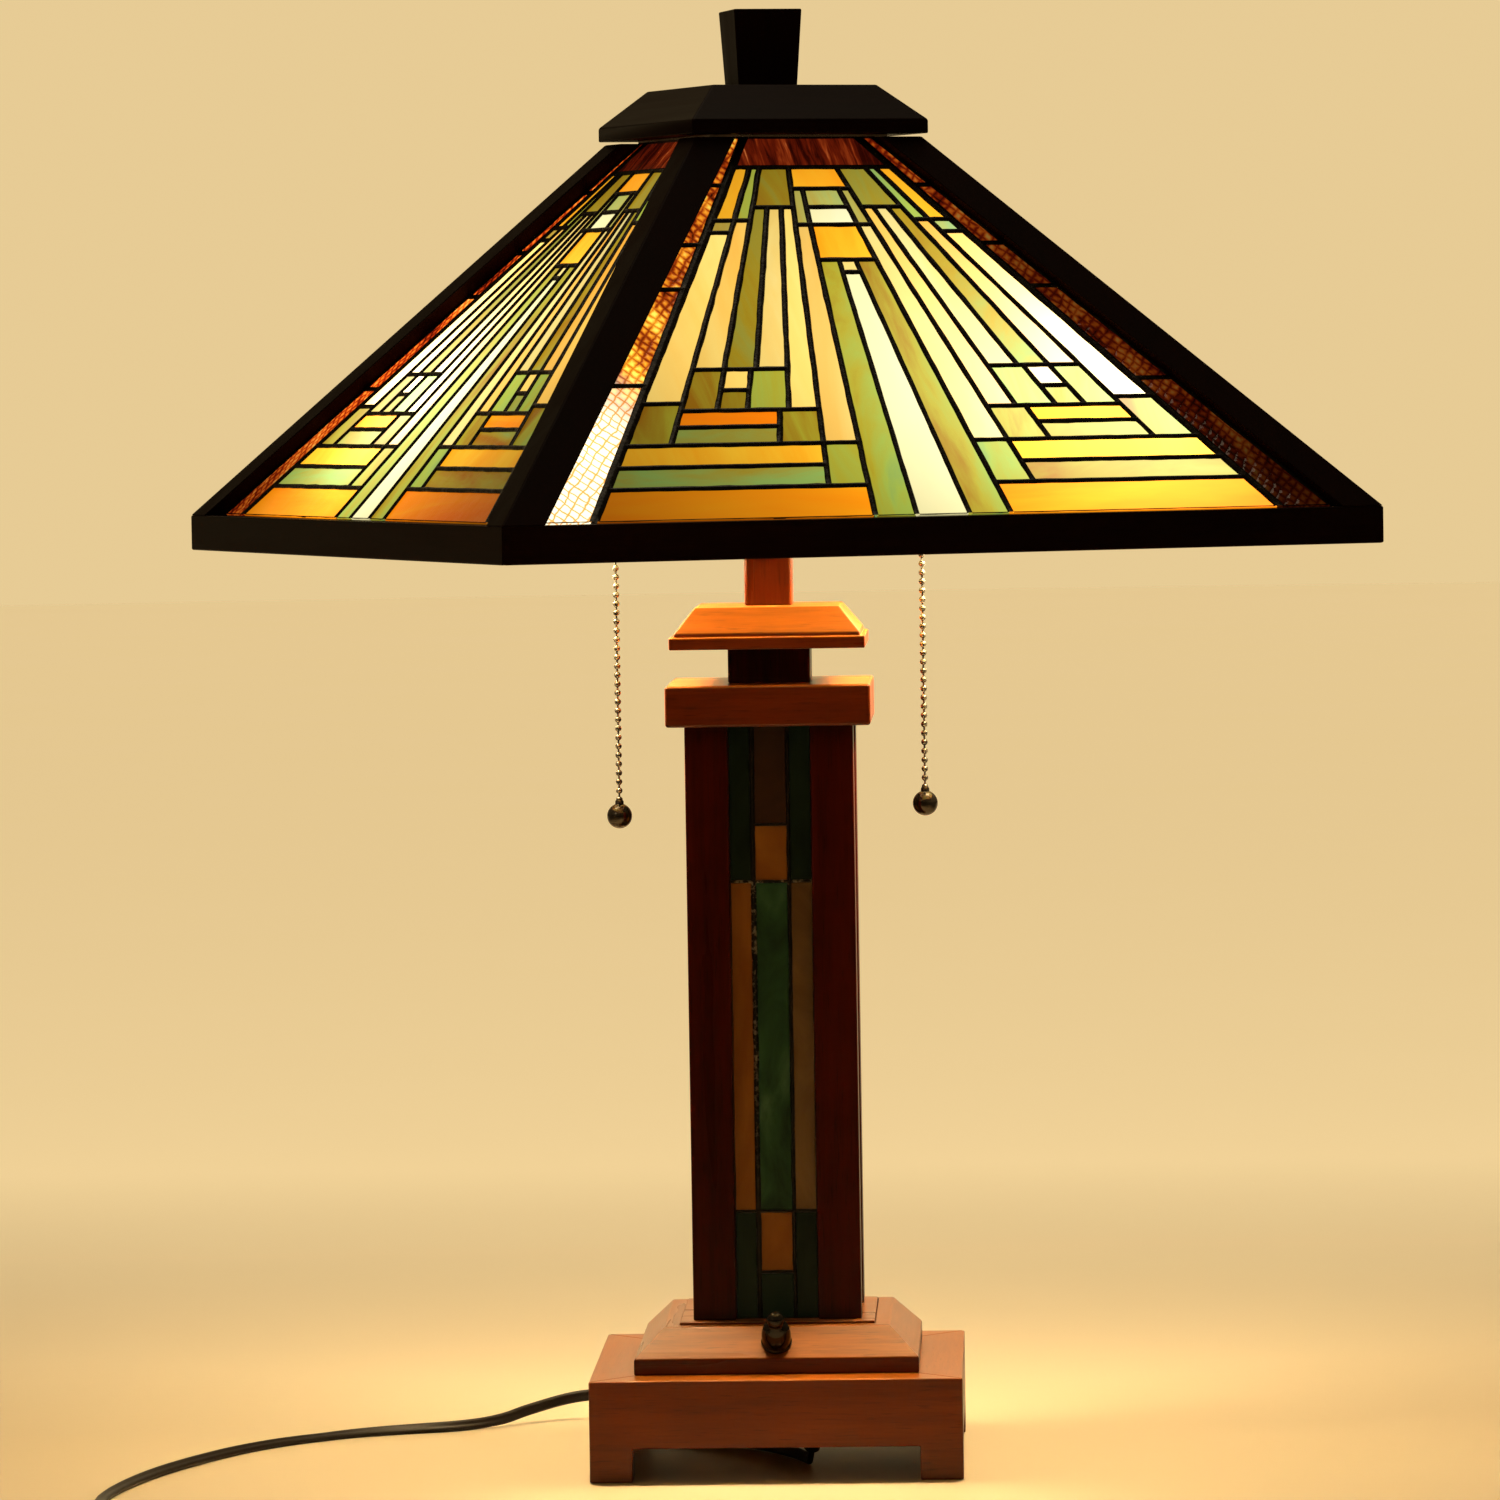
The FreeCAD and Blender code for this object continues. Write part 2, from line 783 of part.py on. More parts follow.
def cluster_body():
    """Cast body on the pipe, with an arm to each socket."""
    middle = size.lamp_height
    casting = turned(
        "cluster_casting",
        [
            (size.pipe_radius, ring_high),
            (13.5, ring_high),
            (13.5, ring_high + 3),
            (9, ring_high + 8),
            (9, middle - 13),
            (16, middle - 8),
            (16, middle + 8),
            (10, middle + 14),
            (10, cluster_high),
            (size.pipe_radius, cluster_high),
        ],
    )
    arms = []
    for number, sign in enumerate((-1, 1)):
        arm = doc.addObject("Part::Cylinder", f"cluster_arm_{number}")
        bind(arm, "Radius", size.pipe_radius)
        arm.Height = 26
        arm.Placement = Placement(
            Vector(sign * 12, 0, middle.value), Rotation(Vector(0, 1, 0), sign * 90)
        )
        arms.append(arm)
    keep("cluster_body", fuse("cluster_body", [casting] + arms))


def lying(side_turn):
    """Turns a piece made along Z so that it points out along X, its own X pointing up."""
    outwards = Rotation(Vector(0, 0, 1), Vector(0, -1, 0), Vector(1, 0, 0), "ZXY")
    turn = Placement(Vector(), Rotation(Vector(0, 0, 1), side_turn))
    return turn * Placement(Vector(0, 0, size.lamp_height.value), outwards)


def socket(side, side_turn):
    """Pull-chain socket: a shell, closed at the arm, with the chain's spout below it."""
    start, length, radius = size.socket_start, size.socket_length, size.socket_radius
    shell = turned(
        f"socket_shell_{side}",
        [
            (size.pipe_radius, start),
            (11, start),
            (radius, start + 7),
            (radius, start + length),
            (radius - 1.4, start + length),
            (radius - 1.4, start + 20),
            (0, start + 20),
            (0, start + 8),
            (size.pipe_radius, start + 8),
        ],
    )
    reach = size.lamp_height - size.spout_low
    spout = doc.addObject("Part::Cylinder", f"spout_{side}")
    spout.Radius = 3.5
    spout.Height = reach.value - radius.value + 0.7
    bore = doc.addObject("Part::Cylinder", f"spout_bore_{side}")
    bore.Radius = 2.2
    bore.Height = reach.value - radius.value + 4
    down = Rotation(Vector(0, 1, 0), 90)
    for item in (spout, bore):
        item.Placement = Placement(Vector(-reach.value, 0, size.chain_offset.value), down)
    body = cut(f"socket_{side}", fuse(f"socket_blank_{side}", [shell, spout]), [bore])
    body.Placement = lying(side_turn)
    keep(f"socket_{side}", body)


def bulb(side, side_turn):
    """Lamp bulb: screw base inside the socket, neck and globe."""
    start = size.socket_start + 20
    mouth = size.socket_start + size.socket_length
    base = cylinder(f"bulb_base_{side}", 13, start, mouth + 1)
    neck = doc.addObject("Part::Cone", f"bulb_neck_{side}")
    neck.Radius1, neck.Radius2, neck.Height = 13, 19.5, 20
    bind(neck, "Placement.Base.z", mouth)
    globe = doc.addObject("Part::Sphere", f"bulb_globe_{side}")
    bind(globe, "Radius", size.bulb_radius)
    bind(globe, "Placement.Base.z", size.bulb_centre)
    body = fuse(f"bulb_{side}", [base, neck, globe])
    body.Placement = lying(side_turn)
    keep(f"bulb_{side}", body)


def chains(side, sign, ball_height):
    """The short chain in the socket and the hanging chain with its ball end."""
    x = sign * size.chain_offset
    gap = 0.2
    short = cylinder(f"switch_chain_{side}", size.bead_radius, size.chain_top + gap, size.spout_low + 11, x)
    long = cylinder(
        f"chain_rod_{side}", size.bead_radius, ball_height, size.chain_top - size.bead_radius, x
    )
    crown = doc.addObject("Part::Sphere", f"chain_crown_{side}")
    bind(crown, "Radius", size.bead_radius)
    ball = doc.addObject("Part::Sphere", f"chain_ball_{side}")
    bind(ball, "Radius", size.ball_radius)
    for item, height in ((crown, size.chain_top - size.bead_radius), (ball, ball_height)):
        bind(item, "Placement.Base.x", x)
        bind(item, "Placement.Base.z", height)
    keep(f"switch_chain_{side}", short)
    keep(f"pull_chain_{side}", fuse(f"pull_chain_{side}", [long, crown, ball]))


# ---------------------------------------------------------------- shade


def half_width(height):
    """Half the shade's width at a height on its sloping faces."""
    lean = (half_shade - half_top) / (size.frame_top - apron_high)
    return half_shade - (height - apron_high) * lean


def shade_panel(name, turn):
    """Glass slab under one sloping face, as wide as the bottoms of its grooves."""
    plans = []
    for half in (half_shade, half_top):
        reach = half - size.stile_width + size.shade_groove
        outer = half - size.shade_glass_inset
        plans.append((-reach, reach, -outer, -(outer - size.shade_glass_run)))
    return wedge(name, apron_high, size.frame_top, plans[0], plans[1], turn)


def stile_blank(name, turn):
    """Square-section hip stile that leans inwards along two faces."""
    plans = []
    for half in (half_shade, half_top):
        inner = half - size.stile_width
        plans.append((-half, -inner, -half, -inner))
    return wedge(name, apron_high, size.frame_top, plans[0], plans[1], turn)


def shade_frame(yaw):
    for number, corner in enumerate(CORNERS):
        blank = stile_blank(f"stile_blank_{number}", 0)
        grooves = [shade_panel(f"stile_groove_{number}_a", 0), shade_panel(f"stile_groove_{number}_b", -90)]
        stile = cut(f"shade_stile_{corner}", blank, grooves)
        keep(f"shade_stile_{corner}", stile, yaw + 90 * number)
    inner = half_shade - size.apron_size
    plan = [(-half_shade, -half_shade), (half_shade, -half_shade), (inner, -inner), (-inner, -inner)]
    for number, side in enumerate(SIDES):
        apron = padded(f"shade_apron_{side}", plan, size.apron_size, size.apron_low)
        keep(f"shade_apron_{side}", apron, yaw + 90 * number)
        keep(f"shade_glass_{side}", shade_panel(f"shade_glass_{side}", 0), yaw + 90 * number)


def shade_top_board(yaw):
    """Board inside the tops of the glass and the stiles."""
    behind = size.shade_glass_inset + size.shade_glass_run
    low = shade_seat()
    blank = wedge(
        "top_board_blank",
        low,
        size.frame_top,
        square(half_width(low) - behind),
        square(half_top - behind),
    )
    tools = [stile_blank(f"top_board_corner_{number}", 90 * number) for number in range(4)]
    tools.append(cylinder("top_board_hole", running_bore, low - PAST, size.frame_top + PAST))
    keep("shade_top_board", cut("shade_top_board", blank, tools), yaw)


def shade_plate(yaw):
    blank = wedge("plate_blank", size.frame_top, cap_low, square(size.plate_width / 2))
    hole = cylinder("plate_hole", running_bore, size.frame_top - PAST, cap_low + PAST)
    keep("shade_plate", cut("shade_plate", blank, [hole]), yaw)


def cap(yaw):
    """Square cap with a bevelled top."""
    half = size.cap_width / 2
    edge = wedge("cap_edge_block", cap_low, cap_low + size.cap_edge, square(half))
    bevel = wedge(
        "cap_bevel", cap_low + size.cap_edge, cap_high, square(half), square(size.cap_flat / 2)
    )
    hole = cylinder("cap_hole", running_bore, cap_low - PAST, cap_high + PAST)
    keep("cap", cut("cap", fuse("cap_blank", [edge, bevel]), [hole]), yaw)


def finial():
    """Tapered square finial that screws on the top of the pipe."""
    top = cap_high + size.finial_height
    blank = wedge(
        "finial_blank", cap_high, top, square(size.finial_foot / 2), square(size.finial_head / 2)
    )
    hole = cylinder("finial_hole", running_bore, cap_high - PAST, size.pipe_high + PAST)
    keep("finial", cut("finial", blank, [hole]), size.finial_yaw.value)


# ---------------------------------------------------------------- cord


def rounded_path(points):
    """Straight runs joined by tangent arcs. Returns the wire and the arcs' radii."""
    edges, radii = [], []
    start = points[0]
    for before, corner, after in zip(points, points[1:], points[2:]):
        back, ahead = (before - corner), (after - corner)
        shorter = min(back.Length, ahead.Length)
        back.normalize()
        ahead.normalize()
        turn = math.pi - back.getAngle(ahead)
        reach = CORNER_SHARE * shorter
        radius = reach / math.tan(turn / 2)
        first, last = corner + back * reach, corner + ahead * reach
        bisector = back + ahead
        bisector.normalize()
        centre = corner + bisector * math.hypot(radius, reach)
        middle = centre - bisector * radius
        edges.append(Part.LineSegment(start, first).toShape())
        edges.append(Part.Arc(first, middle, last).toShape())
        radii.append(radius)
        start = last
    edges.append(Part.LineSegment(start, points[-1]).toShape())
    return Part.Wire(edges), radii


def cord():
    """The free lead as far as its coil, the coil as one ring, and the plug on it."""
    path, radii = rounded_path(CORD_ROUTE)
    print("cord radii mm:", " ".join(f"{radius:.1f}" for radius in radii))
    radius = size.cord_diameter.value / 2
    circle = Part.Circle(CORD_ROUTE[0], CORD_ROUTE[1] - CORD_ROUTE[0], radius)
    tube = path.makePipeShell([Part.Wire(circle.toShape())], True, True)
    section = math.pi * radius**2
    print(f"cord length {path.Length:.1f}, volume ratio {tube.Volume / (section * path.Length):.4f}")
    item = doc.addObject("Part::Feature", "cord_tube")
    item.Shape = tube
    keep("cord_tube", item)
    ring = cut(
        "cord_coil",
        cylinder("coil_outside", size.coil_outer_radius, 0, size.coil_height),
        [cylinder("coil_inside", size.coil_inner_radius, -PAST, size.coil_height + PAST)],
    )
    ring.Placement.Base = COIL_CENTRE
    keep("cord_coil", ring)


def strain_relief():
    """Sleeve held in the bottom panel, tapered towards its tail, where the cord leaves it."""
    bore = size.cord_diameter / 2
    tail = bore + 1.1
    closed = 2
    sleeve = turned(
        "cord_bushing",
        [
            (0, 0),
            (tail, 0),
            (size.relief_radius, size.relief_taper),
            (size.relief_radius, size.relief_length),
            (bore, size.relief_length),
            (bore, closed),
            (0, closed),
        ],
    )
    sleeve.Placement = relief_place()
    keep("cord_bushing", sleeve)


def plug():
    """Two-blade plug that lies on the coil, blades to the left."""
    half = size.plug_width / 2
    nose = PLUG_REAR.x - size.plug_length
    low = size.coil_height
    middle = low + size.plug_height / 2
    body = wedge(
        "plug_body",
        low,
        low + size.plug_height,
        (nose, PLUG_REAR.x, PLUG_REAR.y - half, PLUG_REAR.y + half),
    )
    blades = []
    for number, sign in enumerate((-1, 1)):
        y = PLUG_REAR.y + sign * size.blade_spacing / 2
        plan = (
            nose - size.blade_length,
            nose + 1,
            y - size.blade_thickness / 2,
            y + size.blade_thickness / 2,
        )
        half_blade = size.blade_height / 2
        blades.append(wedge(f"plug_blade_{number}", middle - half_blade, middle + half_blade, plan))
    keep("plug", fuse("plug", [body] + blades))


# ---------------------------------------------------------------- whole lamp


def build():
    for number, side in enumerate(SIDES):
        base_board(side, 90 * number)
    base_deck()
    base_bottom_panel()
    corner_blocks()
    bottom_screws()
    step_mouldings()
    step_centre_board()
    rotary_switch()
    column()
    column_end_blocks()
    night_light()
    blocks()
    lamp_pipe()
    pipe_nuts()
    pipe_washers()
    cluster_body()
    for side, side_turn in (("left", 180), ("right", 0)):
        socket(side, side_turn)
        bulb(side, side_turn)
    chains("left", -1, size.left_ball_height)
    chains("right", 1, size.right_ball_height)
    yaw = size.shade_yaw.value
    shade_frame(yaw)
    shade_top_board(yaw)
    shade_plate(yaw)
    cap(yaw)
    finial()
    cord()
    strain_relief()
    plug()


def check():
    """Stops if any object failed or any sub-part's shape is unusable."""
    for item in doc.Objects:
        if "Invalid" in item.State or "Error" in item.State:
            raise RuntimeError(f"{item.Name} failed: {item.State}")
    for name, item in nodes.items():
        if item.Shape.isNull() or not item.Shape.isValid():
            raise RuntimeError(f"{name} has a bad shape")


def export():
    os.makedirs("parts", exist_ok=True)
    for name, item in nodes.items():
        item.Shape.exportStep(os.path.join("parts", f"{name}.step"))


build()
doc.recompute()
check()
export()
print(len(nodes), "nodes written")
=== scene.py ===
import json
import math

import bmesh
import bpy
from mathutils import Matrix, Vector, noise


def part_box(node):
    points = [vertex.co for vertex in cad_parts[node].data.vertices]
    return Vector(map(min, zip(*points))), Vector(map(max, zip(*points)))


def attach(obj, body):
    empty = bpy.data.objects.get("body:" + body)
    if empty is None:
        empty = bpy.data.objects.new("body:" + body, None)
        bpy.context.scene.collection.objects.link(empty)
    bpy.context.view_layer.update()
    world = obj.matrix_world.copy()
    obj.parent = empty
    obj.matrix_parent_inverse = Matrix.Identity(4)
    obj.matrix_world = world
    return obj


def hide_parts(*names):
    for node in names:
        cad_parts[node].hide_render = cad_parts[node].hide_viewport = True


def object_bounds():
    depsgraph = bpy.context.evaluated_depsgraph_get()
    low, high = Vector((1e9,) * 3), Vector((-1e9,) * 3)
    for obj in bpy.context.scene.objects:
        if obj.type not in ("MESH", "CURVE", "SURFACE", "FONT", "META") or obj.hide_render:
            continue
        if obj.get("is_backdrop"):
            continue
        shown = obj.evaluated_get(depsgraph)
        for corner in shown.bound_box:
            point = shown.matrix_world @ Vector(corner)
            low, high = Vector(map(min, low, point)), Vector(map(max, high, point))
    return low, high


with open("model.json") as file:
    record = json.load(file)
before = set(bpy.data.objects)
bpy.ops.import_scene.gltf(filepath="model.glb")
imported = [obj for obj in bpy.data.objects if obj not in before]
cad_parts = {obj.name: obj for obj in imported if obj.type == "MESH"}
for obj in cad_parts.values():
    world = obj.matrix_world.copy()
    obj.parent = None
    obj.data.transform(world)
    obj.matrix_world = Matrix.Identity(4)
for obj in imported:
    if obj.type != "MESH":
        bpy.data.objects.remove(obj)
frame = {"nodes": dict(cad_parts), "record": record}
cad_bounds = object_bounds()

# ---- the lamp's dimensions
# Millimetres, as the CAD model has them. Meshes are scaled to metres when they are made.

MM = 0.001

SHADE_YAW = math.radians(24.5)
APRON_HIGH = 449.9
FRAME_TOP = 624.6
HALF_SHADE = 215.8
HALF_TOP = 57.3
LEAN = (HALF_SHADE - HALF_TOP) / (FRAME_TOP - APRON_HIGH)
SLOPE = math.hypot(1, LEAN)
STILE_WIDTH = 20.5
GLASS_INSET = 10.5
GLASS_THICKNESS = 3.0

COLUMN_LOW = 69.7
COLUMN_HIGH = 349.7
COLUMN_GLASS_FACE = 33.6
COLUMN_GLASS_HALF = 19.3
COLUMN_BAR = 8.4
COLUMN_JOINT = 276.2

LAMP_HEIGHT = 464.0
BULB_OFFSET = 118.0
CHAIN_OFFSET = 72.6

TURNS = [("front", 0), ("right", 90), ("back", 180), ("left", 270)]

# ---- cord facts

CORD_WIDTH = 5.6
CORD_THICKNESS = 2.9
LEAD_LENGTH = 0.66
CORD_ROUTE = [
    (15.2, -38.2, 9), (14.1, -34, 2.8), (11.5, -26, 2.8), (7, -14, 2.8), (0, 0, 2.8),
    (-9, 13, 2.8), (-21, 24, 2.8), (-35, 33, 2.8), (-47, 45, 2.8), (-55, 60, 2.8),
    (-58.5, 78, 3.6), (-60.5, 96, 6), (-67, 111, 9.5), (-78.5, 121, 12), (-92.7, 125.9, 13),
    (-107.7, 124.8, 11.6), (-121.8, 118, 8.6), (-134.5, 107, 5.9), (-150, 95, 4.4), (-167, 88, 3.5),
    (-186, 83, 3.1), (-206.5, 75, 2.8), (-228, 60.5, 2.8), (-247, 42, 2.8), (-264.5, 16, 2.8),
    (-280, -16, 2.8), (-295, -54, 2.8), (-305.5, -96, 2.8), (-311, -137, 2.8), (-304, -176, 2.8),
    (-292, -204, 2.8), (-279.5, -224, 2.8),
]
COIL_CENTRE = (-310, -250)
COIL_RADII = (36.6, 30.8, 25.2)
COIL_START = math.radians(20)
COIL_TURNS = 6
COIL_POINTS = 14
COIL_RISE = 3.3
COIL_END = [(-283, -262, 7.5), (-278, -276, 10.5), (-282.5, -283.5, 13.0), (-290, -283, 13.4)]

# How the flat cord lies along the lead, in metres: on its edge, turning over, rocking near flat.
ON_EDGE_TO = 0.24
FLAT_FROM = 0.36
ROCKS_TO = 0.56
ON_EDGE = 82
NEAR_FLAT = 20
IN_COIL = 15


# ---- camera

CAMERA_PLACE = (0.1138, -3.5501, 0.5155)
# The Y of a unit direction at which the light behind the lamp begins, and at which it is full.
BEHIND = (0.80, 0.97)


def add_object(name, data):
    item = bpy.data.objects.new(name, data)
    bpy.context.scene.collection.objects.link(item)
    return item


def add_camera():
    """A long lens, a little to the right of the lamp and above its middle."""
    data = bpy.data.cameras.new("camera")
    data.lens = 179.9
    data.sensor_width = 36
    data.clip_end = 50
    camera = add_object("camera", data)
    place = Matrix.Translation(CAMERA_PLACE)
    heading = Matrix.Rotation(math.radians(2.0), 4, "Z")
    pitch = Matrix.Rotation(math.radians(90 - 2.885), 4, "X")
    roll = Matrix.Rotation(math.radians(-0.897), 4, "Z")
    camera.matrix_world = place @ heading @ pitch @ roll
    bpy.context.scene.camera = camera


add_camera()


# ---- mesh building


class Build:
    """Collects faces in millimetres and makes one mesh object of them, in metres."""

    sharp_angle = math.radians(42)
    merge_distance = 0.001
    sliver = 1e-7

    def __init__(self):
        self.points = []
        self.faces = []
        self.slots = []

    def grid(self, rows, slot=0, wrap=False):
        """Quads between neighbouring rows of points. wrap joins each row's end to its start."""
        first = len(self.points)
        width = len(rows[0])
        for row in rows:
            self.points.extend(Vector(point) for point in row)
        for down in range(len(rows) - 1):
            for across in range(width if wrap else width - 1):
                a = first + down * width + across
                b = first + down * width + (across + 1) % width
                self.faces.append((a, b, b + width, a + width))
                self.slots.append(slot)

    def lathe(self, outline, steps, place=None, slot=0):
        """A body of revolution about Z from (radius, height) points."""
        place = place or Matrix.Identity(4)
        turns = [math.tau * step / steps for step in range(steps)]
        rows = [
            [place @ Vector((radius * math.cos(turn), radius * math.sin(turn), height)) for turn in turns]
            for radius, height in outline
        ]
        self.grid(rows, slot, wrap=True)

    def make(self, name, materials):
        mesh = bpy.data.meshes.new(name)
        mesh.from_pydata([point * MM for point in self.points], [], self.faces)
        for material in materials:
            mesh.materials.append(material)
        mesh.polygons.foreach_set("material_index", self.slots)
        shape = bmesh.new()
        shape.from_mesh(mesh)
        bmesh.ops.remove_doubles(shape, verts=shape.verts, dist=self.merge_distance * MM)
        bmesh.ops.dissolve_degenerate(shape, edges=shape.edges, dist=self.sliver)
        bmesh.ops.recalc_face_normals(shape, faces=shape.faces)
        shape.to_mesh(mesh)
        shape.free()
        for face in mesh.polygons:
            face.use_smooth = True
        mesh.set_sharp_from_angle(angle=self.sharp_angle)
        return add_object(name, mesh)


def modified(item, kind, **settings):
    modifier = item.modifiers.new(kind.lower(), kind)
    for name, value in settings.items():
        setattr(modifier, name, value)


# ---- materials


class Shader:
    """A node material, or the world's, put together by name."""

    def __init__(self, owner, coordinates="Object"):
        self.owner = owner
        owner.use_nodes = True
        self.tree = owner.node_tree
        self.tree.nodes.clear()
        self.coordinates = self.add("ShaderNodeTexCoord").outputs[coordinates]

    def add(self, kind, inputs=None, **settings):
        node = self.tree.nodes.new(kind)
        for name, value in settings.items():
            setattr(node, name, value)
        for name, value in (inputs or {}).items():
            self.put(node.inputs[name], value)
        return node

    def put(self, socket, value):
        """Links an output to the socket or sets its value. A colour may leave out its alpha."""
        if isinstance(value, bpy.types.NodeSocket):
            self.tree.links.new(value, socket)
        elif socket.type == "RGBA" and len(value) == 3:
            socket.default_value = (*value, 1.0)
        else:
            socket.default_value = value

    def math(self, operation, *values, kind="Math", output=0):
        node = self.add(f"ShaderNode{kind}", operation=operation)
        for index, value in enumerate(values):
            self.put(node.inputs[index], value)
        return node.outputs[output]

    def product(self, first, second):
        return self.math("MULTIPLY", first, second)

    def blend(self, first, second, share):
        """first by its share, and second by the rest."""
        return self.math("ADD", self.product(first, share), self.product(second, 1 - share))

    def near(self, value, centre, reach):
        """1 where a value in metres is closer to the centre than the reach, both in millimetres."""
        distance = self.math("ABSOLUTE", self.math("SUBTRACT", value, centre * MM))
        return self.math("LESS_THAN", distance, reach * MM)

    def vector(self, operation, *values, output=0):
        return self.math(operation, *values, kind="VectorMath", output=output)

    def split(self, vector):
        return self.add("ShaderNodeSeparateXYZ", {"Vector": vector}).outputs

    def joined(self, x, y, z):
        return self.add("ShaderNodeCombineXYZ", {"X": x, "Y": y, "Z": z}).outputs[0]

    def geometry(self, output):
        return self.add("ShaderNodeNewGeometry").outputs[output]

    def mapped(self, scale, rotation=(0, 0, 0), source=None):
        inputs = {"Vector": source or self.coordinates, "Scale": scale, "Rotation": rotation}
        return self.add("ShaderNodeMapping", inputs).outputs[0]

    def noise(self, scale, vector=None, detail=3.0, rough=0.55, distortion=0.0):
        inputs = {"Vector": vector or self.coordinates, "Scale": scale, "Detail": detail,
                  "Roughness": rough, "Distortion": distortion}
        return self.add("ShaderNodeTexNoise", inputs).outputs["Fac"]

    def ramp(self, factor, stops):
        node = self.add("ShaderNodeValToRGB", {"Fac": factor})
        elements = node.color_ramp.elements
        while len(elements) < len(stops):
            elements.new(0.5)
        for element, (position, color) in zip(elements, stops):
            element.position = position
            element.color = (*color, 1.0)
        return node.outputs["Color"]

    def spread(self, factor, low, high, to_low=0.0, to_high=1.0):
        inputs = {"Value": factor, "From Min": low, "From Max": high, "To Min": to_low, "To Max": to_high}
        return self.add("ShaderNodeMapRange", inputs).outputs[0]

    def mix(self, factor, first, second, blend="MIX"):
        node = self.add("ShaderNodeMix", data_type="RGBA", blend_type=blend)
        for index, value in ((0, factor), (6, first), (7, second)):
            self.put(node.inputs[index], value)
        return node.outputs[2]

    def bump(self, height, distance, strength):
        inputs = {"Height": height, "Distance": distance, "Strength": strength}
        return self.add("ShaderNodeBump", inputs).outputs["Normal"]

    def finish(self, **inputs):
        sockets = {
            "color": "Base Color", "rough": "Roughness", "metal": "Metallic", "normal": "Normal",
            "coat": "Coat Weight", "coat_rough": "Coat Roughness", "specular": "Specular IOR Level",
            "glow": "Emission Color", "glow_strength": "Emission Strength",
        }
        surface = self.add("ShaderNodeBsdfPrincipled")
        for name, value in inputs.items():
            self.put(surface.inputs[sockets[name]], value)
        self.add("ShaderNodeOutputMaterial", {"Surface": surface.outputs[0]})
        return self.owner


def new_material(name):
    return Shader(bpy.data.materials.new(name))


def along_sides(mat, place):
    """Swaps X and Y on the pieces of a mitred frame that run along Y."""
    x, y, z = mat.split(place)
    runs_along_y = mat.math("GREATER_THAN", mat.math("ABSOLUTE", x), mat.math("ABSOLUTE", y))
    chooser = mat.add("ShaderNodeMix", data_type="VECTOR")
    for index, value in ((0, runs_along_y), (4, place), (5, mat.joined(y, x, z))):
        mat.put(chooser.inputs[index], value)
    return chooser.outputs[1]


# Grain is noise drawn out along the wood, by this factor. Painted light: upward faces are made lighter by
# this tint, as lit from above.
GRAIN_STRETCH = 0.06
LIT_TOP_TINT = (2.2, 3.9, 4.0)


def wood(name, stain, direction, yaw=0.0, rough=0.3, gloss=1.0, lit_tops=0.0):
    """Stained wood. direction is up, across, or mitred: along each side of a square frame.

    The last argument is how far the upward faces are painted paler, as lit from above, and made more satin.
    """
    mat = new_material(name)
    turned = mat.mapped((1, 1, 1), (0, 0, -yaw))
    if direction == "mitred":
        turned = along_sides(mat, turned)
    stretch = (1, 1, GRAIN_STRETCH) if direction == "up" else (GRAIN_STRETCH, 1, 1)
    grain = mat.mapped(stretch, source=turned)
    figure = mat.noise(38, grain, 4, 0.6, 0.8)
    fibre = mat.noise(420, grain, 6, 0.65, 0.3)
    pores = mat.noise(1300, grain, 2, 0.5)
    cloud = mat.noise(9, detail=3, rough=0.5)
    color = mat.ramp(mat.blend(figure, fibre, 0.6), list(zip((0.26, 0.74), stain)))
    open_grain = mat.spread(pores, 0.60, 0.72, 1.0, 0.62)
    cloudy = mat.spread(cloud, 0.3, 0.7, 0.8, 1.15)
    color = mat.mix(1.0, color, mat.product(open_grain, cloudy), "MULTIPLY")
    # Painted light: faces that look up are made paler, as lit from above. They also get more coat.
    upward = mat.spread(mat.split(mat.geometry("Normal"))[2], 0.3, 0.7, 0.0, lit_tops)
    color = mat.mix(upward, color, mat.mix(1.0, color, LIT_TOP_TINT, "MULTIPLY"))
    return mat.finish(
        color=color,
        rough=mat.spread(figure, 0.3, 0.7, rough - 0.05, rough + 0.08),
        normal=mat.bump(mat.blend(open_grain, fibre, 0.6), 0.0001, 0.3),
        specular=0.22 * gloss,
        coat=mat.spread(upward, 0, 1, 0.14 * gloss, 0.5 * gloss),
        coat_rough=mat.spread(upward, 0, 1, 0.16, 0.30),
    )


def metal(name, color, patina, rough, grime=60):
    """Plated or patinated metal, cloudy with finger marks."""
    mat = new_material(name)
    cloud = mat.noise(grime, detail=5, rough=0.6)
    fine = mat.noise(grime * 22, detail=2)
    return mat.finish(
        color=mat.mix(mat.spread(cloud, 0.42, 0.66), color, patina),
        metal=0.95,
        rough=mat.spread(cloud, 0.3, 0.7, rough * 0.8, rough * 1.35),
        normal=mat.bump(fine, 0.00005, 0.4),
    )


def plastic(name, color, rough, grain, depth):
    mat = new_material(name)
    fine = mat.noise(grain, detail=3)
    cloud = mat.noise(30, detail=4)
    return mat.finish(
        color=mat.mix(cloud, tuple(part * 0.8 for part in color), tuple(part * 1.25 for part in color)),
        rough=mat.spread(cloud, 0.3, 0.7, rough * 0.85, rough * 1.2),
        specular=0.25,
        normal=mat.bump(fine, depth, 0.6),
    )


# How the bulbs light the glass: where their light seems to start, in millimetres, and its share.
# It falls with a power of the distance, is 1 at the reach in metres, and levels off at the most.
GLOW_SOURCES = [((-60, 10, 396), 0.30), ((-122, 22, 462), 0.10), ((133, 10, 396), 0.92)]
GLOW_FALL = 3.55
GLOW_REACH = 0.108
GLOW_MOST = 0.45
GLOW_CURVE = 1.17

# The levels of light between which the glass turns to its hot colour.
GLARE_FROM, GLARE_FULL = 0.11, 0.40

# Streaks in the glass run up the panel or across it, or a little of both.
RAY_STREAK = (1, 0.22, 0.22)
LEVEL_STREAK = (0.22, 1, 1)
UNLIT_STREAK = (1, 1, 0.45)
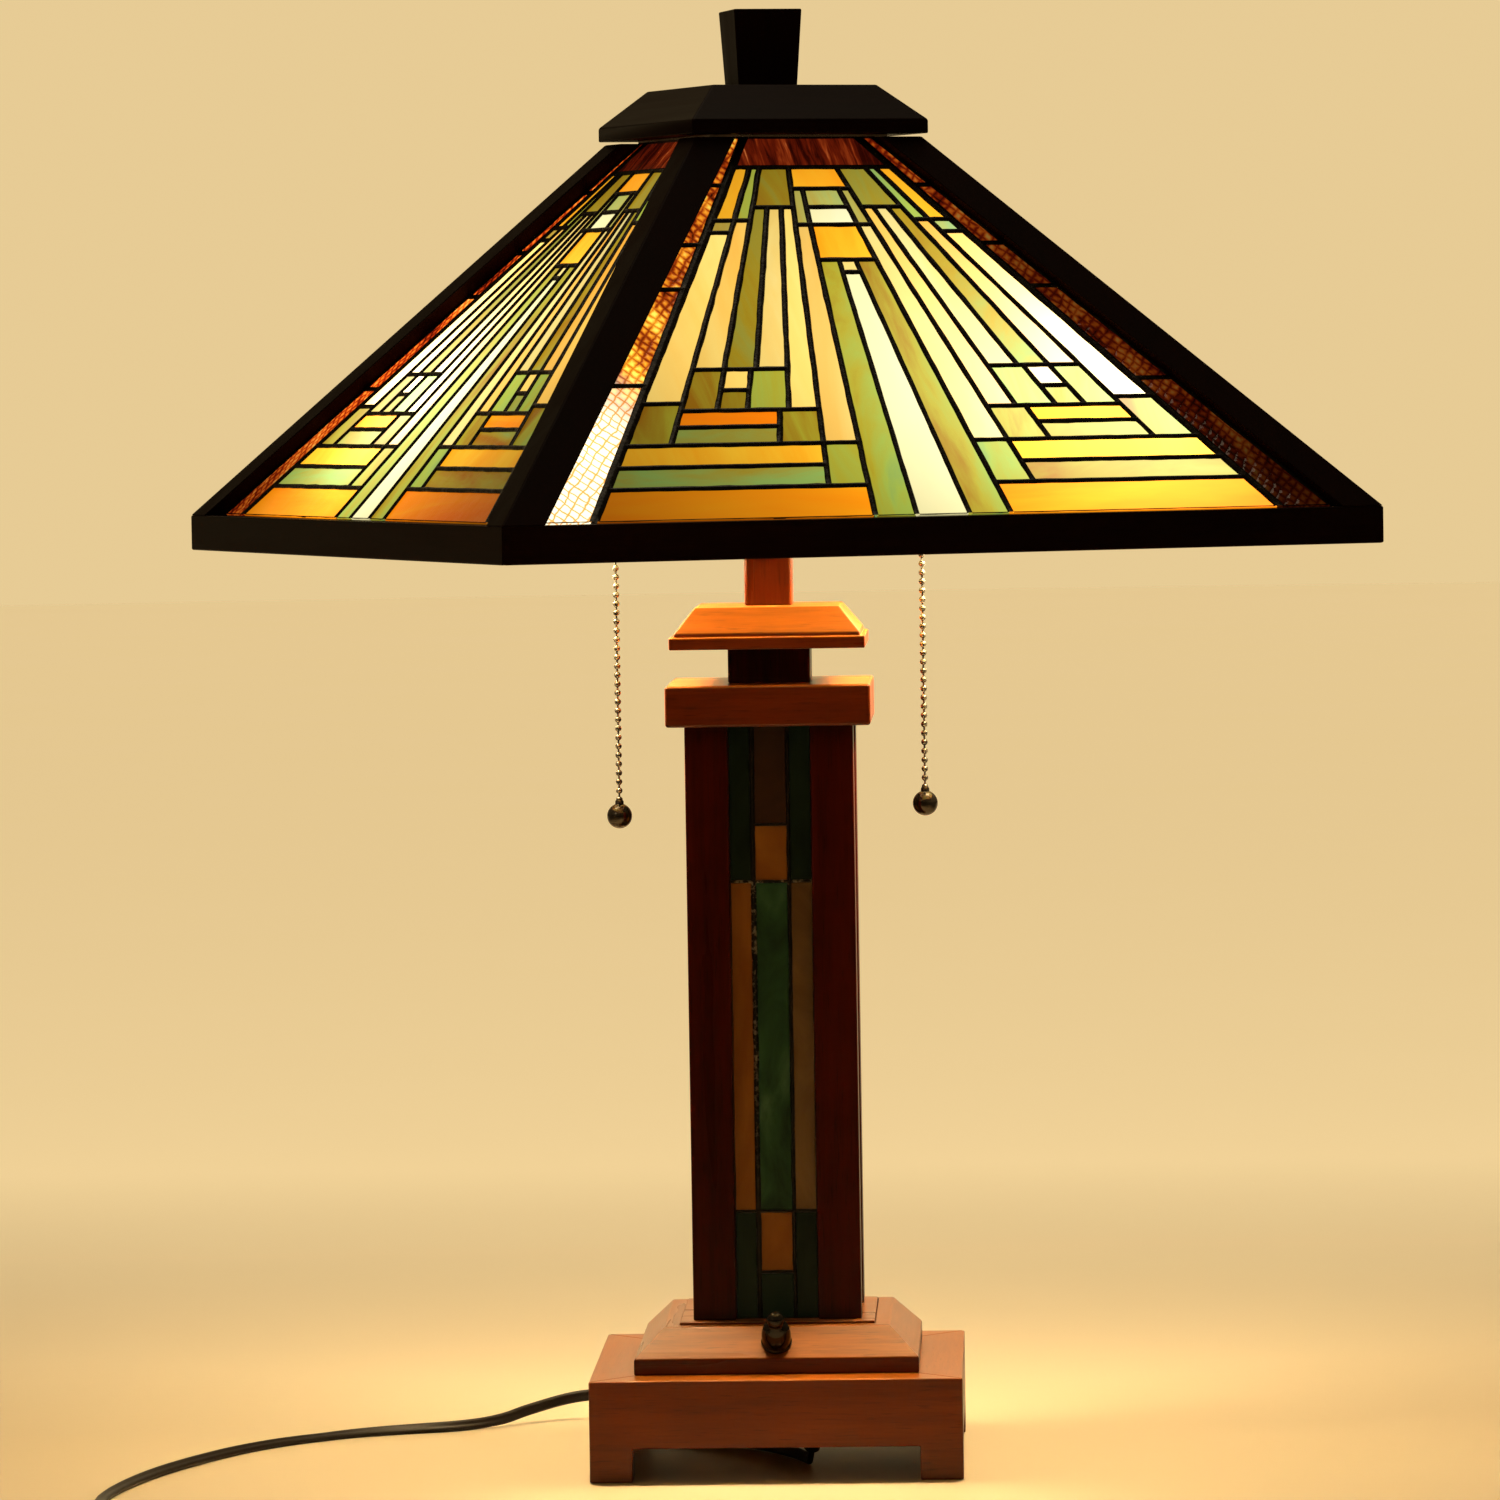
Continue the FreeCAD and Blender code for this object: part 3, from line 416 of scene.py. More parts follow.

# Painted glare: the hot colours that the brightest glass turns to.
HOT_PALE = (1.0, 0.95, 0.72)
HOT_AMBER = (1.0, 0.70, 0.12)
HOT_GREEN = (0.92, 1.0, 0.42)


def lamp_light(mat):
    """How strongly the bulbs light a point of the glass."""
    position = mat.geometry("Position")
    normal = mat.geometry("True Normal")
    total = 0.0
    for place, share in GLOW_SOURCES:
        ray = mat.vector("SUBTRACT", tuple(value * MM for value in place), position)
        distance = mat.vector("LENGTH", ray, output=1)
        slant = mat.vector("DOT_PRODUCT", ray, normal, output=1)
        facing = mat.product(mat.math("ABSOLUTE", slant), share)
        part = mat.math("DIVIDE", facing, mat.math("POWER", distance, GLOW_FALL))
        total = mat.math("ADD", total, part)
    level = mat.product(total, GLOW_REACH ** (GLOW_FALL - 1))
    return mat.math("POWER", mat.math("MINIMUM", level, GLOW_MOST), GLOW_CURVE)


def piece_places(mat):
    """Coordinates that jump from one piece of glass to the next, and the piece's own number."""
    piece = mat.geometry("Random Per Island")
    panel = mat.add("ShaderNodeObjectInfo").outputs["Random"]
    shift = [mat.product(number, reach) for number, reach in ((piece, 3.1), (panel, 5.7), (piece, 2.3))]
    return mat.vector("ADD", mat.coordinates, mat.joined(*shift)), piece


def wisps(mat, colors, streak, scale):
    """The streaky mix of colours in a piece of art glass, and how much light it lets out."""
    places, piece = piece_places(mat)
    drawn = mat.mapped(streak, source=places)
    fine = mat.noise(scale, drawn, 5, 0.58, 1.6)
    haze = mat.noise(scale * 0.35, drawn, 2, 0.5, 0.4)
    tone = mat.math("ADD", mat.blend(fine, haze, 0.6), mat.spread(piece, 0, 1, -0.07, 0.07))
    first, last = 0.36, 0.64
    step = (last - first) / (len(colors) - 1)
    color = mat.ramp(tone, [(first + step * index, item) for index, item in enumerate(colors)])
    return color, mat.spread(piece, 0, 1, 0.84, 1.12)


def art_glass(name, colors, glow, scale, glare, streak=RAY_STREAK, hot=HOT_PALE):
    """Opalescent glass with the bulbs' light through it painted on as glow. glare is how far its brightest
    places turn to the hot colour, a painted glare.
    """
    mat = new_material(name)
    color, vary = wisps(mat, colors, streak, scale)
    level = lamp_light(mat)
    return mat.finish(
        color=mat.mix(0.9, color, (0.02, 0.02, 0.015)),
        glow=mat.mix(mat.spread(level, GLARE_FROM, GLARE_FULL, 0.0, glare), color, hot),
        glow_strength=mat.product(mat.product(level, vary), glow),
        rough=0.22,
        specular=0.12,
        normal=mat.bump(mat.noise(60, detail=2), 0.0006, 0.5),
    )


def unlit_glass(name, colors, scale=34):
    """The same glass with no lamp behind it, given a faint painted glow."""
    mat = new_material(name)
    color, vary = wisps(mat, colors, UNLIT_STREAK, scale)
    return mat.finish(
        color=color,
        rough=0.28,
        specular=0.15,
        # A faint painted glow.
        glow=color,
        glow_strength=mat.product(vary, 0.18),
        normal=mat.bump(mat.noise(45, detail=2), 0.0008, 0.5),
    )


# Waves per metre across and along the border glass, and how far they wander.
HATCH_ACROSS, HATCH_ALONG, HATCH_BEND = 560, 640, 3.4
# Where a bulb shines straight through the border, in millimetres, and the patch's inner and outer edge.
PATCH_PLACE = (-92, -246, 455)
PATCH_EDGES = (40, 125)
AMBER_TINT = (1.0, 2.4, 1.6)


def hammered(mat, places):
    """A wandering diamond pattern: 0 along its lines and up to 1 between them."""
    bend = mat.product(mat.noise(90, places, 3), HATCH_BEND)
    x, _, z = mat.split(mat.coordinates)
    across = mat.product(x, HATCH_ACROSS)
    lines = []
    for along in (HATCH_ALONG, -HATCH_ALONG):
        phase = mat.math("ADD", mat.math("ADD", across, mat.product(z, along)), bend)
        lines.append(mat.math("ABSOLUTE", mat.math("SINE", phase)))
    return mat.math("MINIMUM", *lines)


def border_glass():
    """Clear amber glass, hammered in a diamond pattern, with its light painted on as glow. A painted hot
    patch shows where one bulb shines straight through it, with painted glints along the hammering.

    The glow is painted brighter and more amber towards the front left corner, and dimmer low down.
    """
    mat = new_material("glass_border")
    places, _ = piece_places(mat)
    hatch = hammered(mat, places)
    cloud = mat.noise(50, mat.mapped((1, 0.5, 0.5), source=places), 4, 0.6, 0.8)
    color = mat.ramp(mat.math("ADD", mat.product(hatch, 0.20), cloud), [
        (0.42, (0.030, 0.0012, 0.0003)),
        (0.57, (0.36, 0.024, 0.002)),
        (0.70, (0.95, 0.18, 0.012)),
        (0.82, (1.0, 0.48, 0.08)),
    ])
    position = mat.geometry("Position")
    x, y, z = mat.split(position)
    # Painted light: more amber towards the front left corner, set by place.
    amber = mat.product(mat.spread(x, -0.10, 0.06, 0.9, 0.0), mat.spread(y, -0.06, 0.0, 1.0, 0.0))
    color = mat.mix(amber, color, mat.mix(1.0, color, AMBER_TINT, "MULTIPLY"))
    away = mat.vector("DISTANCE", position, tuple(value * MM for value in PATCH_PLACE), output=1)
    inner, outer = (edge * MM for edge in PATCH_EDGES)
    hot = mat.math("POWER", mat.spread(away, inner, outer, 1.0, 0.0), 2.0)
    # Painted light: the glow is stronger to the left and weaker low down.
    side = mat.spread(x, -0.14, 0.12, 1.5, 0.15)
    high = mat.spread(z, 0.465, 0.515, 0.25, 1.0)
    dim = mat.product(mat.product(side, high), 1.1)
    # Painted glints along the hammering.
    gleam = mat.spread(hatch, 0.10, 0.42)
    bright = mat.product(hot, mat.spread(gleam, 0, 1, 0.9, 1.2))
    glare = mat.mix(gleam, (1.0, 0.40, 0.06), (1.0, 0.92, 0.64))
    return mat.finish(
        color=(0.05, 0.01, 0.003),
        glow=mat.mix(mat.spread(hot, 0.12, 0.55), color, glare),
        glow_strength=mat.math("ADD", dim, bright),
        specular=0.25,
        rough=0.14,
        normal=mat.bump(hatch, 0.0008, 0.6),
    )


def top_glass():
    """Rippled red-brown glass with a painted glow, in which only a few streaks are painted bright, as where
    they would catch the light.
    """
    mat = new_material("glass_top")
    places, _ = piece_places(mat)
    drawn = mat.mapped((1, 0.10, 0.10), (0, math.radians(6), 0), places)
    ripple = mat.noise(230, drawn, 4, 0.62, 0.4)
    color = mat.ramp(mat.blend(ripple, mat.noise(26, places, 2, 0.5), 0.75), [
        (0.42, (0.022, 0.0015, 0.0005)),
        (0.53, (0.12, 0.009, 0.0015)),
        (0.61, (0.28, 0.038, 0.006)),
        (0.68, (0.75, 0.24, 0.06)),
    ])
    return mat.finish(
        specular=0.2,
        color=(0.05, 0.008, 0.003),
        # Painted glow.
        glow=color,
        glow_strength=0.9,
        rough=0.12,
        normal=mat.bump(ripple, 0.0012, 0.7),
    )


def solder(name, lumpy):
    """Lead and solder with a black patina.

    Lumpy solder has bare bright lumps high on the seam left of the middle strip, and on its top joint.
    """
    mat = new_material(name)
    lumps = mat.noise(420 if lumpy else 300, detail=3)
    cloud = mat.noise(120, detail=3)
    shine = mat.spread(lumps, 0.52, 0.62)
    amount = 0.08
    if lumpy:
        x, _, z = mat.split(mat.coordinates)
        below_top = mat.math("LESS_THAN", z, (COLUMN_JOINT + 2.3) * MM)
        upper = mat.product(mat.spread(z, 0.13, 0.25), below_top)
        seam = mat.product(mat.near(x, -COLUMN_BAR, 4), upper)
        joint = mat.near(z, COLUMN_JOINT, 1.6)
        amount = mat.math("MAXIMUM", seam, mat.product(joint, 0.8))
    dark = mat.mix(mat.spread(cloud, 0.5, 0.75), (0.004, 0.003, 0.002), (0.016, 0.012, 0.009))
    return mat.finish(
        color=mat.mix(mat.product(shine, amount), dark, (0.20, 0.17, 0.13)),
        metal=0.6,
        rough=mat.spread(cloud, 0.3, 0.7, 0.34, 0.5),
        normal=mat.bump(lumps, 0.0005, 0.7),
    )


def bulb_glass():
    mat = new_material("bulb_glass")
    return mat.finish(
        color=(0.9, 0.85, 0.75),
        rough=0.3,
        glow=mat.ramp(mat.noise(40), [(0.3, (1.0, 0.72, 0.40)), (0.7, (1.0, 0.80, 0.50))]),
        glow_strength=9.0,
    )


def floor_material():
    """Pale, and as bright far behind the lamp as the background there."""
    mat = new_material("floor")
    cloud = mat.noise(2.2, detail=4)
    far = mat.spread(mat.split(mat.coordinates)[1], 0.1, 1.3)
    seen_along = mat.vector("ADD", mat.coordinates, (0, 3.5, 0))
    behind = mat.spread(mat.split(mat.vector("NORMALIZE", seen_along))[1], *BEHIND)
    return mat.finish(
        color=mat.ramp(cloud, [(0.3, (0.52, 0.45, 0.33)), (0.7, (0.55, 0.48, 0.36))]),
        glow=(0.59, 0.44, 0.217),
        glow_strength=mat.product(far, behind),
        rough=0.42,
    )


# Stains: the dark and the light of the grain.
CHERRY = ((0.046, 0.0056, 0.0002), (0.165, 0.0260, 0.0008))
# Painted shade: the posts' stain is the cherry made darker, as their upright faces get little of the light
# from above.
SHADED_POST = ((0.012, 0.0007, 0.0001), (0.062, 0.0045, 0.0005))
BLACK = ((0.0042, 0.0010, 0.0004), (0.017, 0.0044, 0.0014))
BIRCH = ((0.30, 0.19, 0.10), (0.46, 0.31, 0.17))

# Glass with the bulbs' light painted on as glow: colours from dark to pale, glow, streak scale, glare and,
# where they differ, the streaks and the hot colour.
LIT_GLASS = {
    "amber": ([(1, 0.32, 0.006), (1, 0.44, 0.014), (1, 0.58, 0.03)], 11.5, 14, 0.6, RAY_STREAK, HOT_AMBER),
    "amber_deep": (
        [(1, 0.17, 0.001), (1, 0.25, 0.002), (1, 0.38, 0.006)],
        10.8, 16, 0.40, LEVEL_STREAK, HOT_AMBER),
    "honey": ([(1, 0.46, 0.05), (1, 0.58, 0.10), (1, 0.72, 0.18)], 11.6, 11, 0.60),
    "cream": ([(1, 0.58, 0.11), (1, 0.70, 0.18), (1, 0.85, 0.32)], 9.0, 12, 0.50),
    "white": ([(1, 0.86, 0.38), (1, 0.91, 0.46), (1, 0.95, 0.60)], 9.4, 10, 0.40),
    "green": ([(0.78, 0.34, 0.01), (0.95, 0.80, 0.05), (0.78, 1, 0.14), (0.42, 0.80, 0.26)], 4.7, 20, 0.40),
    "olive": ([(0.80, 0.30, 0.006), (0.90, 0.62, 0.03), (0.55, 0.85, 0.18)], 4.2, 22, 0.30),
    "pale_green": ([(1, 0.60, 0.06), (0.92, 0.92, 0.20), (0.55, 0.95, 0.36)], 5.6, 22, 0.3),
    "moss": (
        [(0.85, 0.22, 0.004), (0.92, 0.62, 0.04), (0.62, 0.95, 0.20)],
        4.4, 30, 0.75, LEVEL_STREAK, HOT_GREEN),
}
# Glass without a lamp behind it, given a faint painted glow: colours from dark to pale and, where it
# differs, the streak scale.
UNLIT_GLASS = {
    "column_green": ([(0.006, 0.013, 0.004), (0.014, 0.036, 0.010), (0.032, 0.062, 0.022)], 42),
    "column_dark": ([(0.003, 0.006, 0.002), (0.007, 0.013, 0.005)],),
    "column_amber": ([(0.11, 0.032, 0.002), (0.19, 0.068, 0.007)], 22),
    "column_tan": ([(0.060, 0.028, 0.006), (0.13, 0.072, 0.020)], 24),
    "column_brown": ([(0.014, 0.005, 0.0015), (0.030, 0.012, 0.004)], 24),
}
GLASS = {
    **{kind: art_glass(f"glass_{kind}", *facts) for kind, facts in LIT_GLASS.items()},
    "border": border_glass(),
    "top": top_glass(),
    **{kind: unlit_glass(f"glass_{kind}", *facts) for kind, facts in UNLIT_GLASS.items()},
}
GLASS_ORDER = list(GLASS)

MATERIALS = {
    "cherry_post_shaded": wood("cherry_wood_post_shaded", SHADED_POST, "up", gloss=0.4),
    "cherry_up": wood("cherry_up", CHERRY, "up", lit_tops=1.0),
    "cherry_across": wood("cherry_across", CHERRY, "across", lit_tops=1.0),
    "cherry_mitred": wood("cherry_mitred", CHERRY, "mitred", lit_tops=1.0),
    "black_up": wood("black_wood_up", BLACK, "up", SHADE_YAW, 0.52, 0.12),
    "black_mitred": wood("black_wood_mitred", BLACK, "mitred", SHADE_YAW, 0.46, 0.16),
    "plywood": wood("plywood", BIRCH, "across", rough=0.6),
    "steel": metal("steel", (0.60, 0.57, 0.52), (0.42, 0.38, 0.33), 0.28),
    "bronze": metal("bronze", (0.30, 0.18, 0.09), (0.09, 0.05, 0.03), 0.30),
    "chain": metal("chain", (0.46, 0.46, 0.45), (0.11, 0.11, 0.11), 0.22, 300),
    "chain_end": metal("chain_end", (0.085, 0.075, 0.065), (0.030, 0.026, 0.022), 0.12, 120),
    "patina": metal("patina", (0.05, 0.035, 0.022), (0.014, 0.010, 0.007), 0.34, 120),
    "solder": solder("solder", False),
    "lumpy_solder": solder("lumpy_solder", True),
    "black_plastic": plastic("black_plastic", (0.004, 0.0035, 0.003), 0.06, 300, 0.00001),
    "cord": plastic("cord_rubber", (0.0045, 0.0026, 0.0018), 0.42, 600, 0.00004),
    "bulb": bulb_glass(),
}


# ---- cord


def cord_points():
    """The route, then the coil's turns, then the rise into the plug. Millimetres."""
    points = list(CORD_ROUTE)
    centre_x, centre_y = COIL_CENTRE
    for step in range(COIL_TURNS * COIL_POINTS):
        turn = step / COIL_POINTS
        layer, ring = divmod(int(turn), len(COIL_RADII))
        order = COIL_RADII if layer % 2 == 0 else COIL_RADII[::-1]
        is_last = ring + 1 == len(order)
        following = order[ring] if is_last else order[ring + 1]
        blend = max(0.0, (turn % 1 - 0.6) / 0.4)
        radius = order[ring] + (following - order[ring]) * blend
        height = 1.8 + layer * COIL_RISE
        if is_last and layer == 0:
            height += COIL_RISE * blend
        angle = COIL_START - math.tau * turn
        points.append((centre_x + radius * math.cos(angle), centre_y + radius * math.sin(angle), height))
    return points + COIL_END


def spline_points(points):
    """Points along the smooth curve that the given control points in millimetres make, in metres."""
    curve = bpy.data.curves.new("route", "CURVE")
    curve.dimensions = "3D"
    curve.resolution_u = 4
    spline = curve.splines.new("NURBS")
    spline.points.add(len(points) - 1)
    for item, point in zip(spline.points, points):
        item.co = (point[0] * MM, point[1] * MM, point[2] * MM, 1)
    spline.order_u = 3
    spline.use_endpoint_u = True
    carrier = bpy.data.objects.new("route", curve)
    mesh = bpy.data.meshes.new_from_object(carrier)
    path = [vertex.co.copy() for vertex in mesh.vertices]
    bpy.data.objects.remove(carrier)
    bpy.data.meshes.remove(mesh)
    bpy.data.curves.remove(curve)
    return path


def cord_section():
    """Outline of two joined round conductors: (across, through) in millimetres."""
    radius = CORD_THICKNESS / 2
    offset = CORD_WIDTH / 2 - radius
    steps = 9
    outline = []
    for side in (1, -1):
        for step in range(steps):
            angle = math.radians(-125 + 250 * step / (steps - 1))
            outline.append((side * (offset + radius * math.cos(angle)), side * radius * math.sin(angle)))
    return outline


def lean_of_cord(place):
    """How far the flat cord is turned on its edge, from its place along the lead in metres."""
    if place < ON_EDGE_TO:
        return math.radians(ON_EDGE)
    if place < FLAT_FROM:
        turned = (place - ON_EDGE_TO) / (FLAT_FROM - ON_EDGE_TO)
        return math.radians(ON_EDGE - (ON_EDGE - NEAR_FLAT) * turned)
    if place < ROCKS_TO:
        return math.radians(NEAR_FLAT + 14 * math.sin((place - FLAT_FROM) * 16))
    return math.radians(IN_COIL)


def make_cord():
    """The cord, and its centre line in metres."""
    path = spline_points(cord_points())
    section = cord_section()
    clearance = 0.05
    build = Build()
    rows = []
    line = []
    travelled = 0.0
    for index, point in enumerate(path):
        ahead = path[min(index + 1, len(path) - 1)]
        behind = path[max(index - 1, 0)]
        if index:
            travelled += (point - path[index - 1]).length
        direction = (ahead - behind).normalized()
        level = direction.cross(Vector((0, 0, 1)))
        level = level.normalized() if level.length > 0.2 else Vector((1, 0, 0))
        upright = level.cross(direction).normalized()
        lean = lean_of_cord(travelled)
        across = level * math.cos(lean) + upright * math.sin(lean)
        through = upright * math.cos(lean) - level * math.sin(lean)
        row = [point / MM + across * a + through * b for a, b in section]
        lowest = min(item.z for item in row)
        # where the lead lies on the floor it touches it, and no part goes below
        settle = min(1.0, max(0.0, (6.5 - point.z / MM) / 3)) if travelled < LEAD_LENGTH else 0.0
        above = lowest - clearance
        drop = Vector((0, 0, settle * above if above > 0 else above))
        rows.append([item - drop for item in row])
        line.append(point - drop * MM)
    build.grid(rows, wrap=True)
    return build.make("cord", [MATERIALS["cord"]]), line


cord, cord_path = make_cord()
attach(cord, "root")
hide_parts("cord_tube", "cord_coil")


def make_plug():
    """Moulded two-blade plug with a ribbed grip, lying on the coil."""
    low, high = (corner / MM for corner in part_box("plug"))
    blade_length = 17.0
    nose = low.x + blade_length
    length = high.x - nose
    middle_y = (low.y + high.y) / 2
    middle_z = (low.z + high.z) / 2
    half_width, half_height, steps = 12, 7, 28
    build = Build()
    # share of the length from the nose, of the width and of the height
    outline = [
        (0.0, 0.93, 0.93), (0.03, 1.0, 1.0), (0.30, 1.0, 1.0), (0.34, 0.92, 0.90), (0.40, 0.98, 0.96),
        (0.46, 0.88, 0.84), (0.52, 0.93, 0.88), (0.58, 0.80, 0.74), (0.64, 0.84, 0.76), (0.72, 0.62, 0.62),
        (0.82, 0.42, 0.50), (0.92, 0.32, 0.42), (1.0, 0.28, 0.36),
    ]
    rows = [[(nose, middle_y, middle_z)] * steps]
    for share, wide, tall in outline:
        row = []
        for step in range(steps):
            angle = math.tau * step / steps
            c, s = math.cos(angle), math.sin(angle)
            y = math.copysign(abs(c) ** 0.5, c) * half_width * wide
            z = math.copysign(abs(s) ** 0.5, s) * half_height * tall
            row.append((nose + share * length, middle_y + y, middle_z + z))
        rows.append(row)
    rows.append([(high.x, middle_y, middle_z)] * steps)
    build.grid(rows, wrap=True)
    spacing, half_thickness = 12.7, 0.75
    for side in (-1, 1):
        y = middle_y + side * spacing / 2
        rows = []
        for out, half in ((-1, 3.15), (13, 3.15), (16, 2.6), (blade_length, 1.6)):
            left, right = y - half_thickness, y + half_thickness
            bottom, top = middle_z - half, middle_z + half
            rows.append([(nose - out, *corner) for corner in
                         ((left, bottom), (right, bottom), (right, top), (left, top))])
        centre = tuple(sum(values) / 4 for values in zip(*rows[-1]))
        rows.append([centre] * 4)
        build.grid(rows, 1, wrap=True)
    return build.make("plug_moulding", [MATERIALS["cord"], MATERIALS["steel"]])


plug = make_plug()
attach(plug, "root")
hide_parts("plug")
tuple(value * MM for value in CORD_ROUTE[0])
[tuple(point) for point in cord_path]


# ---- leaded glass


def shade_half(height):
    return HALF_SHADE - LEAN * (height - APRON_HIGH)


class Line:
    """A lead line of a panel: its slope, the height where it meets the middle, and half its width."""

    def __init__(self, slope, apex, lead=1.45):
        self.slope = slope
        self.apex = apex
        self.lead = lead

    def at(self, height):
        return self.slope * (self.apex - height)

    def mirrored(self):
        return Line(-self.slope, self.apex, self.lead)


# The shade's rays meet above its top. The inner pair is steeper and meets lower.
APEX = 656.0
RAY_1 = Line(0.0764, 620.7, 1.3)
RAY_2 = Line(0.162, APEX)
RAY_3 = Line(0.263, APEX)
RAY_4 = Line(0.357, APEX)
RAY_45 = Line(0.386, APEX)
RAY_5 = Line(0.467, APEX)
RAY_55 = Line(0.485, APEX)
RAY_6 = Line(0.579, APEX)
RAY_7 = Line(0.691, APEX)
BORDER = Line(0.801, 660.6, 2.2)
STILE = Line(LEAN, APRON_HIGH + (HALF_SHADE - STILE_WIDTH) / LEAN, 1.6)

# Heights of the shade's level lead lines.
Z0, Z1, Z2, Z3, Z4, Z5, Z6, Z7, Z8, Z9, Z10, Z11, Z12, Z13, Z14, Z15, Z16, Z17 = (
    450.3, 464.2, 473.6, 483.2, 491.1, 498.4, 501.8, 507.4, 516.8, 560.7, 566.5, 579.5,
    583.0, 585.2, 591.3, 600.0, 610.2, 624.2)

# Cells of half a panel: inner line, outer line, lower and upper height, glass.
SHADE_SIDE = [
    (RAY_7, BORDER, Z13, Z16, "amber"),
    (RAY_6, RAY_7, Z13, Z16, "green"),
    (RAY_3, RAY_6, Z14, Z16, "olive"),
    (RAY_7, BORDER, Z11, Z13, "pale_green"),
    (RAY_7, BORDER, Z6, Z11, "honey"),
    (RAY_7, BORDER, Z3, Z6, "green"),
    (RAY_6, RAY_7, Z8, Z13, "honey"),
    (RAY_5, RAY_6, Z8, Z14, "olive"),
    (RAY_4, RAY_5, Z8, Z14, "cream"),
    (RAY_3, RAY_4, Z5, Z14, "honey"),
    (RAY_2, RAY_3, Z12, Z15, "pale_green"),
    (RAY_2, RAY_3, Z3, Z12, "cream"),
    (RAY_2, RAY_3, Z1, Z3, "green"),
    (RAY_1, RAY_2, Z0, Z10, "green"),
    (RAY_6, RAY_7, Z5, Z8, "green"),
    (RAY_55, RAY_6, Z7, Z8, "honey"),
    (RAY_55, RAY_6, Z5, Z7, "olive"),
    (RAY_4, RAY_55, Z5, Z8, "green"),
    (RAY_45, RAY_7, Z4, Z5, "amber_deep"),
    (RAY_45, RAY_7, Z3, Z4, "moss"),
    (RAY_3, RAY_45, Z3, Z5, "green"),
    (RAY_3, BORDER, Z2, Z3, "amber"),
    (RAY_3, BORDER, Z1, Z2, "moss"),
    (RAY_2, BORDER, Z0, Z1, "amber_deep"),
]
BORDER_CUTS = (Z0, 510.1, 553.5, 573.9, 601.7, Z17)
SHADE_SIDE += [(BORDER, STILE, low, high, "border") for low, high in zip(BORDER_CUTS, BORDER_CUTS[1:])]

# Cells across the middle: outer line, lower and upper height, glass.
SHADE_MIDDLE = [
    (RAY_3, Z15, Z16, "amber"),
    (RAY_2, Z14, Z15, "pale_green"),
    (RAY_2, Z12, Z14, "white"),
    (RAY_2, Z10, Z12, "amber"),
    (RAY_1, Z9, Z10, "cream"),
    (RAY_1, Z0, Z9, "white"),
    (BORDER, Z16, Z17, "top"),
]

# Half widths of the leads that aren't on a line above.
SHADE_LEVEL_LEAD = 1.35
COLUMN_LEVEL_LEAD = 0.75
LEFT_LEAD = 1.25
RIGHT_LEAD = 0.95
EDGE_LEAD = 0.4
HIDDEN_LEAD = 0.35

# The lead bead's height over the glass, from its ridge to its foot, and the length of its facets.
RIDGE, SHOULDER, FOOT, ROOT = 1.05, 0.95, 0.25, -0.4
LEAD_STEP = 4.5


def shade_cells():
    """Left and right at the low edge and at the high edge, both leads, low, high and glass."""
    rows = []
    for inner, outer, *rest in SHADE_SIDE:
        rows += [(inner, outer, *rest), (outer.mirrored(), inner.mirrored(), *rest)]
    rows += [(outer.mirrored(), outer, *rest) for outer, *rest in SHADE_MIDDLE]
    return [
        (left.at(low), right.at(low), left.at(high), right.at(high),
         left.lead, right.lead, low, high, glass)
        for left, right, low, high, glass in rows
    ]


def column_cells():
    """Three strips, with level joints near the top and the bottom. Each cell as in shade_cells."""
    edge, bar, joint = COLUMN_GLASS_HALF, COLUMN_BAR, COLUMN_JOINT
    amber_foot, foot, amber_top = 91.6, 120.4, 303.0
    rows = [
        (-edge, -bar, joint, COLUMN_HIGH, "column_dark"),
        (bar, edge, joint, COLUMN_HIGH, "column_dark"),
        (-bar, bar, amber_top, COLUMN_HIGH, "column_brown"),
        (-bar, bar, joint, amber_top, "column_amber"),
        (-edge, -bar, foot, joint, "column_amber"),
        (-bar, bar, foot, joint, "column_green"),
        (bar, edge, foot, joint, "column_tan"),
        (-edge, -bar, COLUMN_LOW, foot, "column_dark"),
        (bar, edge, COLUMN_LOW, foot, "column_dark"),
        (-bar, bar, amber_foot, foot, "column_amber"),
        (-bar, bar, COLUMN_LOW, amber_foot, "column_dark"),
    ]
    leads = {-edge: EDGE_LEAD, -bar: LEFT_LEAD, bar: RIGHT_LEAD, edge: EDGE_LEAD}
    return [
        (left, right, left, right, leads[left], leads[right], low, high, glass)
        for left, right, low, high, glass in rows
    ]


def sides(corners):
    """Each side of a quadrilateral: its start, its end, and its along and inward directions."""
    for start, end in zip(corners, corners[1:] + corners[:1]):
        along = (end - start).normalized()
        yield start, end, along, Vector((-along.y, along.x))


def inset(corners, widths):
    """The corners of the quadrilateral whose sides lie inside by the given widths."""
    lines = [(start + inward * width, along)
             for (start, _, along, inward), width in zip(sides(corners), widths)]
    result = []
    for index in range(4):
        (p, u), (q, v) = lines[index - 1], lines[index]
        cross = u.x * v.y - u.y * v.x
        reach = ((q.x - p.x) * v.y - (q.y - p.y) * v.x) / cross
        result.append(p + u * reach)
    return result


def loop_points(corners, counts, waver=0.0, seed=0.0):
    """Points round a quadrilateral. waver moves them in and out a little."""
    points = []
    for (start, end, _, inward), count in zip(sides(corners), counts):
        for step in range(count):
            place = start.lerp(end, step / count)
            if waver and step:
                wave = noise.noise(Vector((place.x * 0.09, place.y * 0.09, seed)))
                fine = noise.noise(Vector((place.x * 0.35, place.y * 0.35, seed + 9)))
                place = place + inward * waver * (wave + 0.6 * fine)
            points.append(place)
    return points


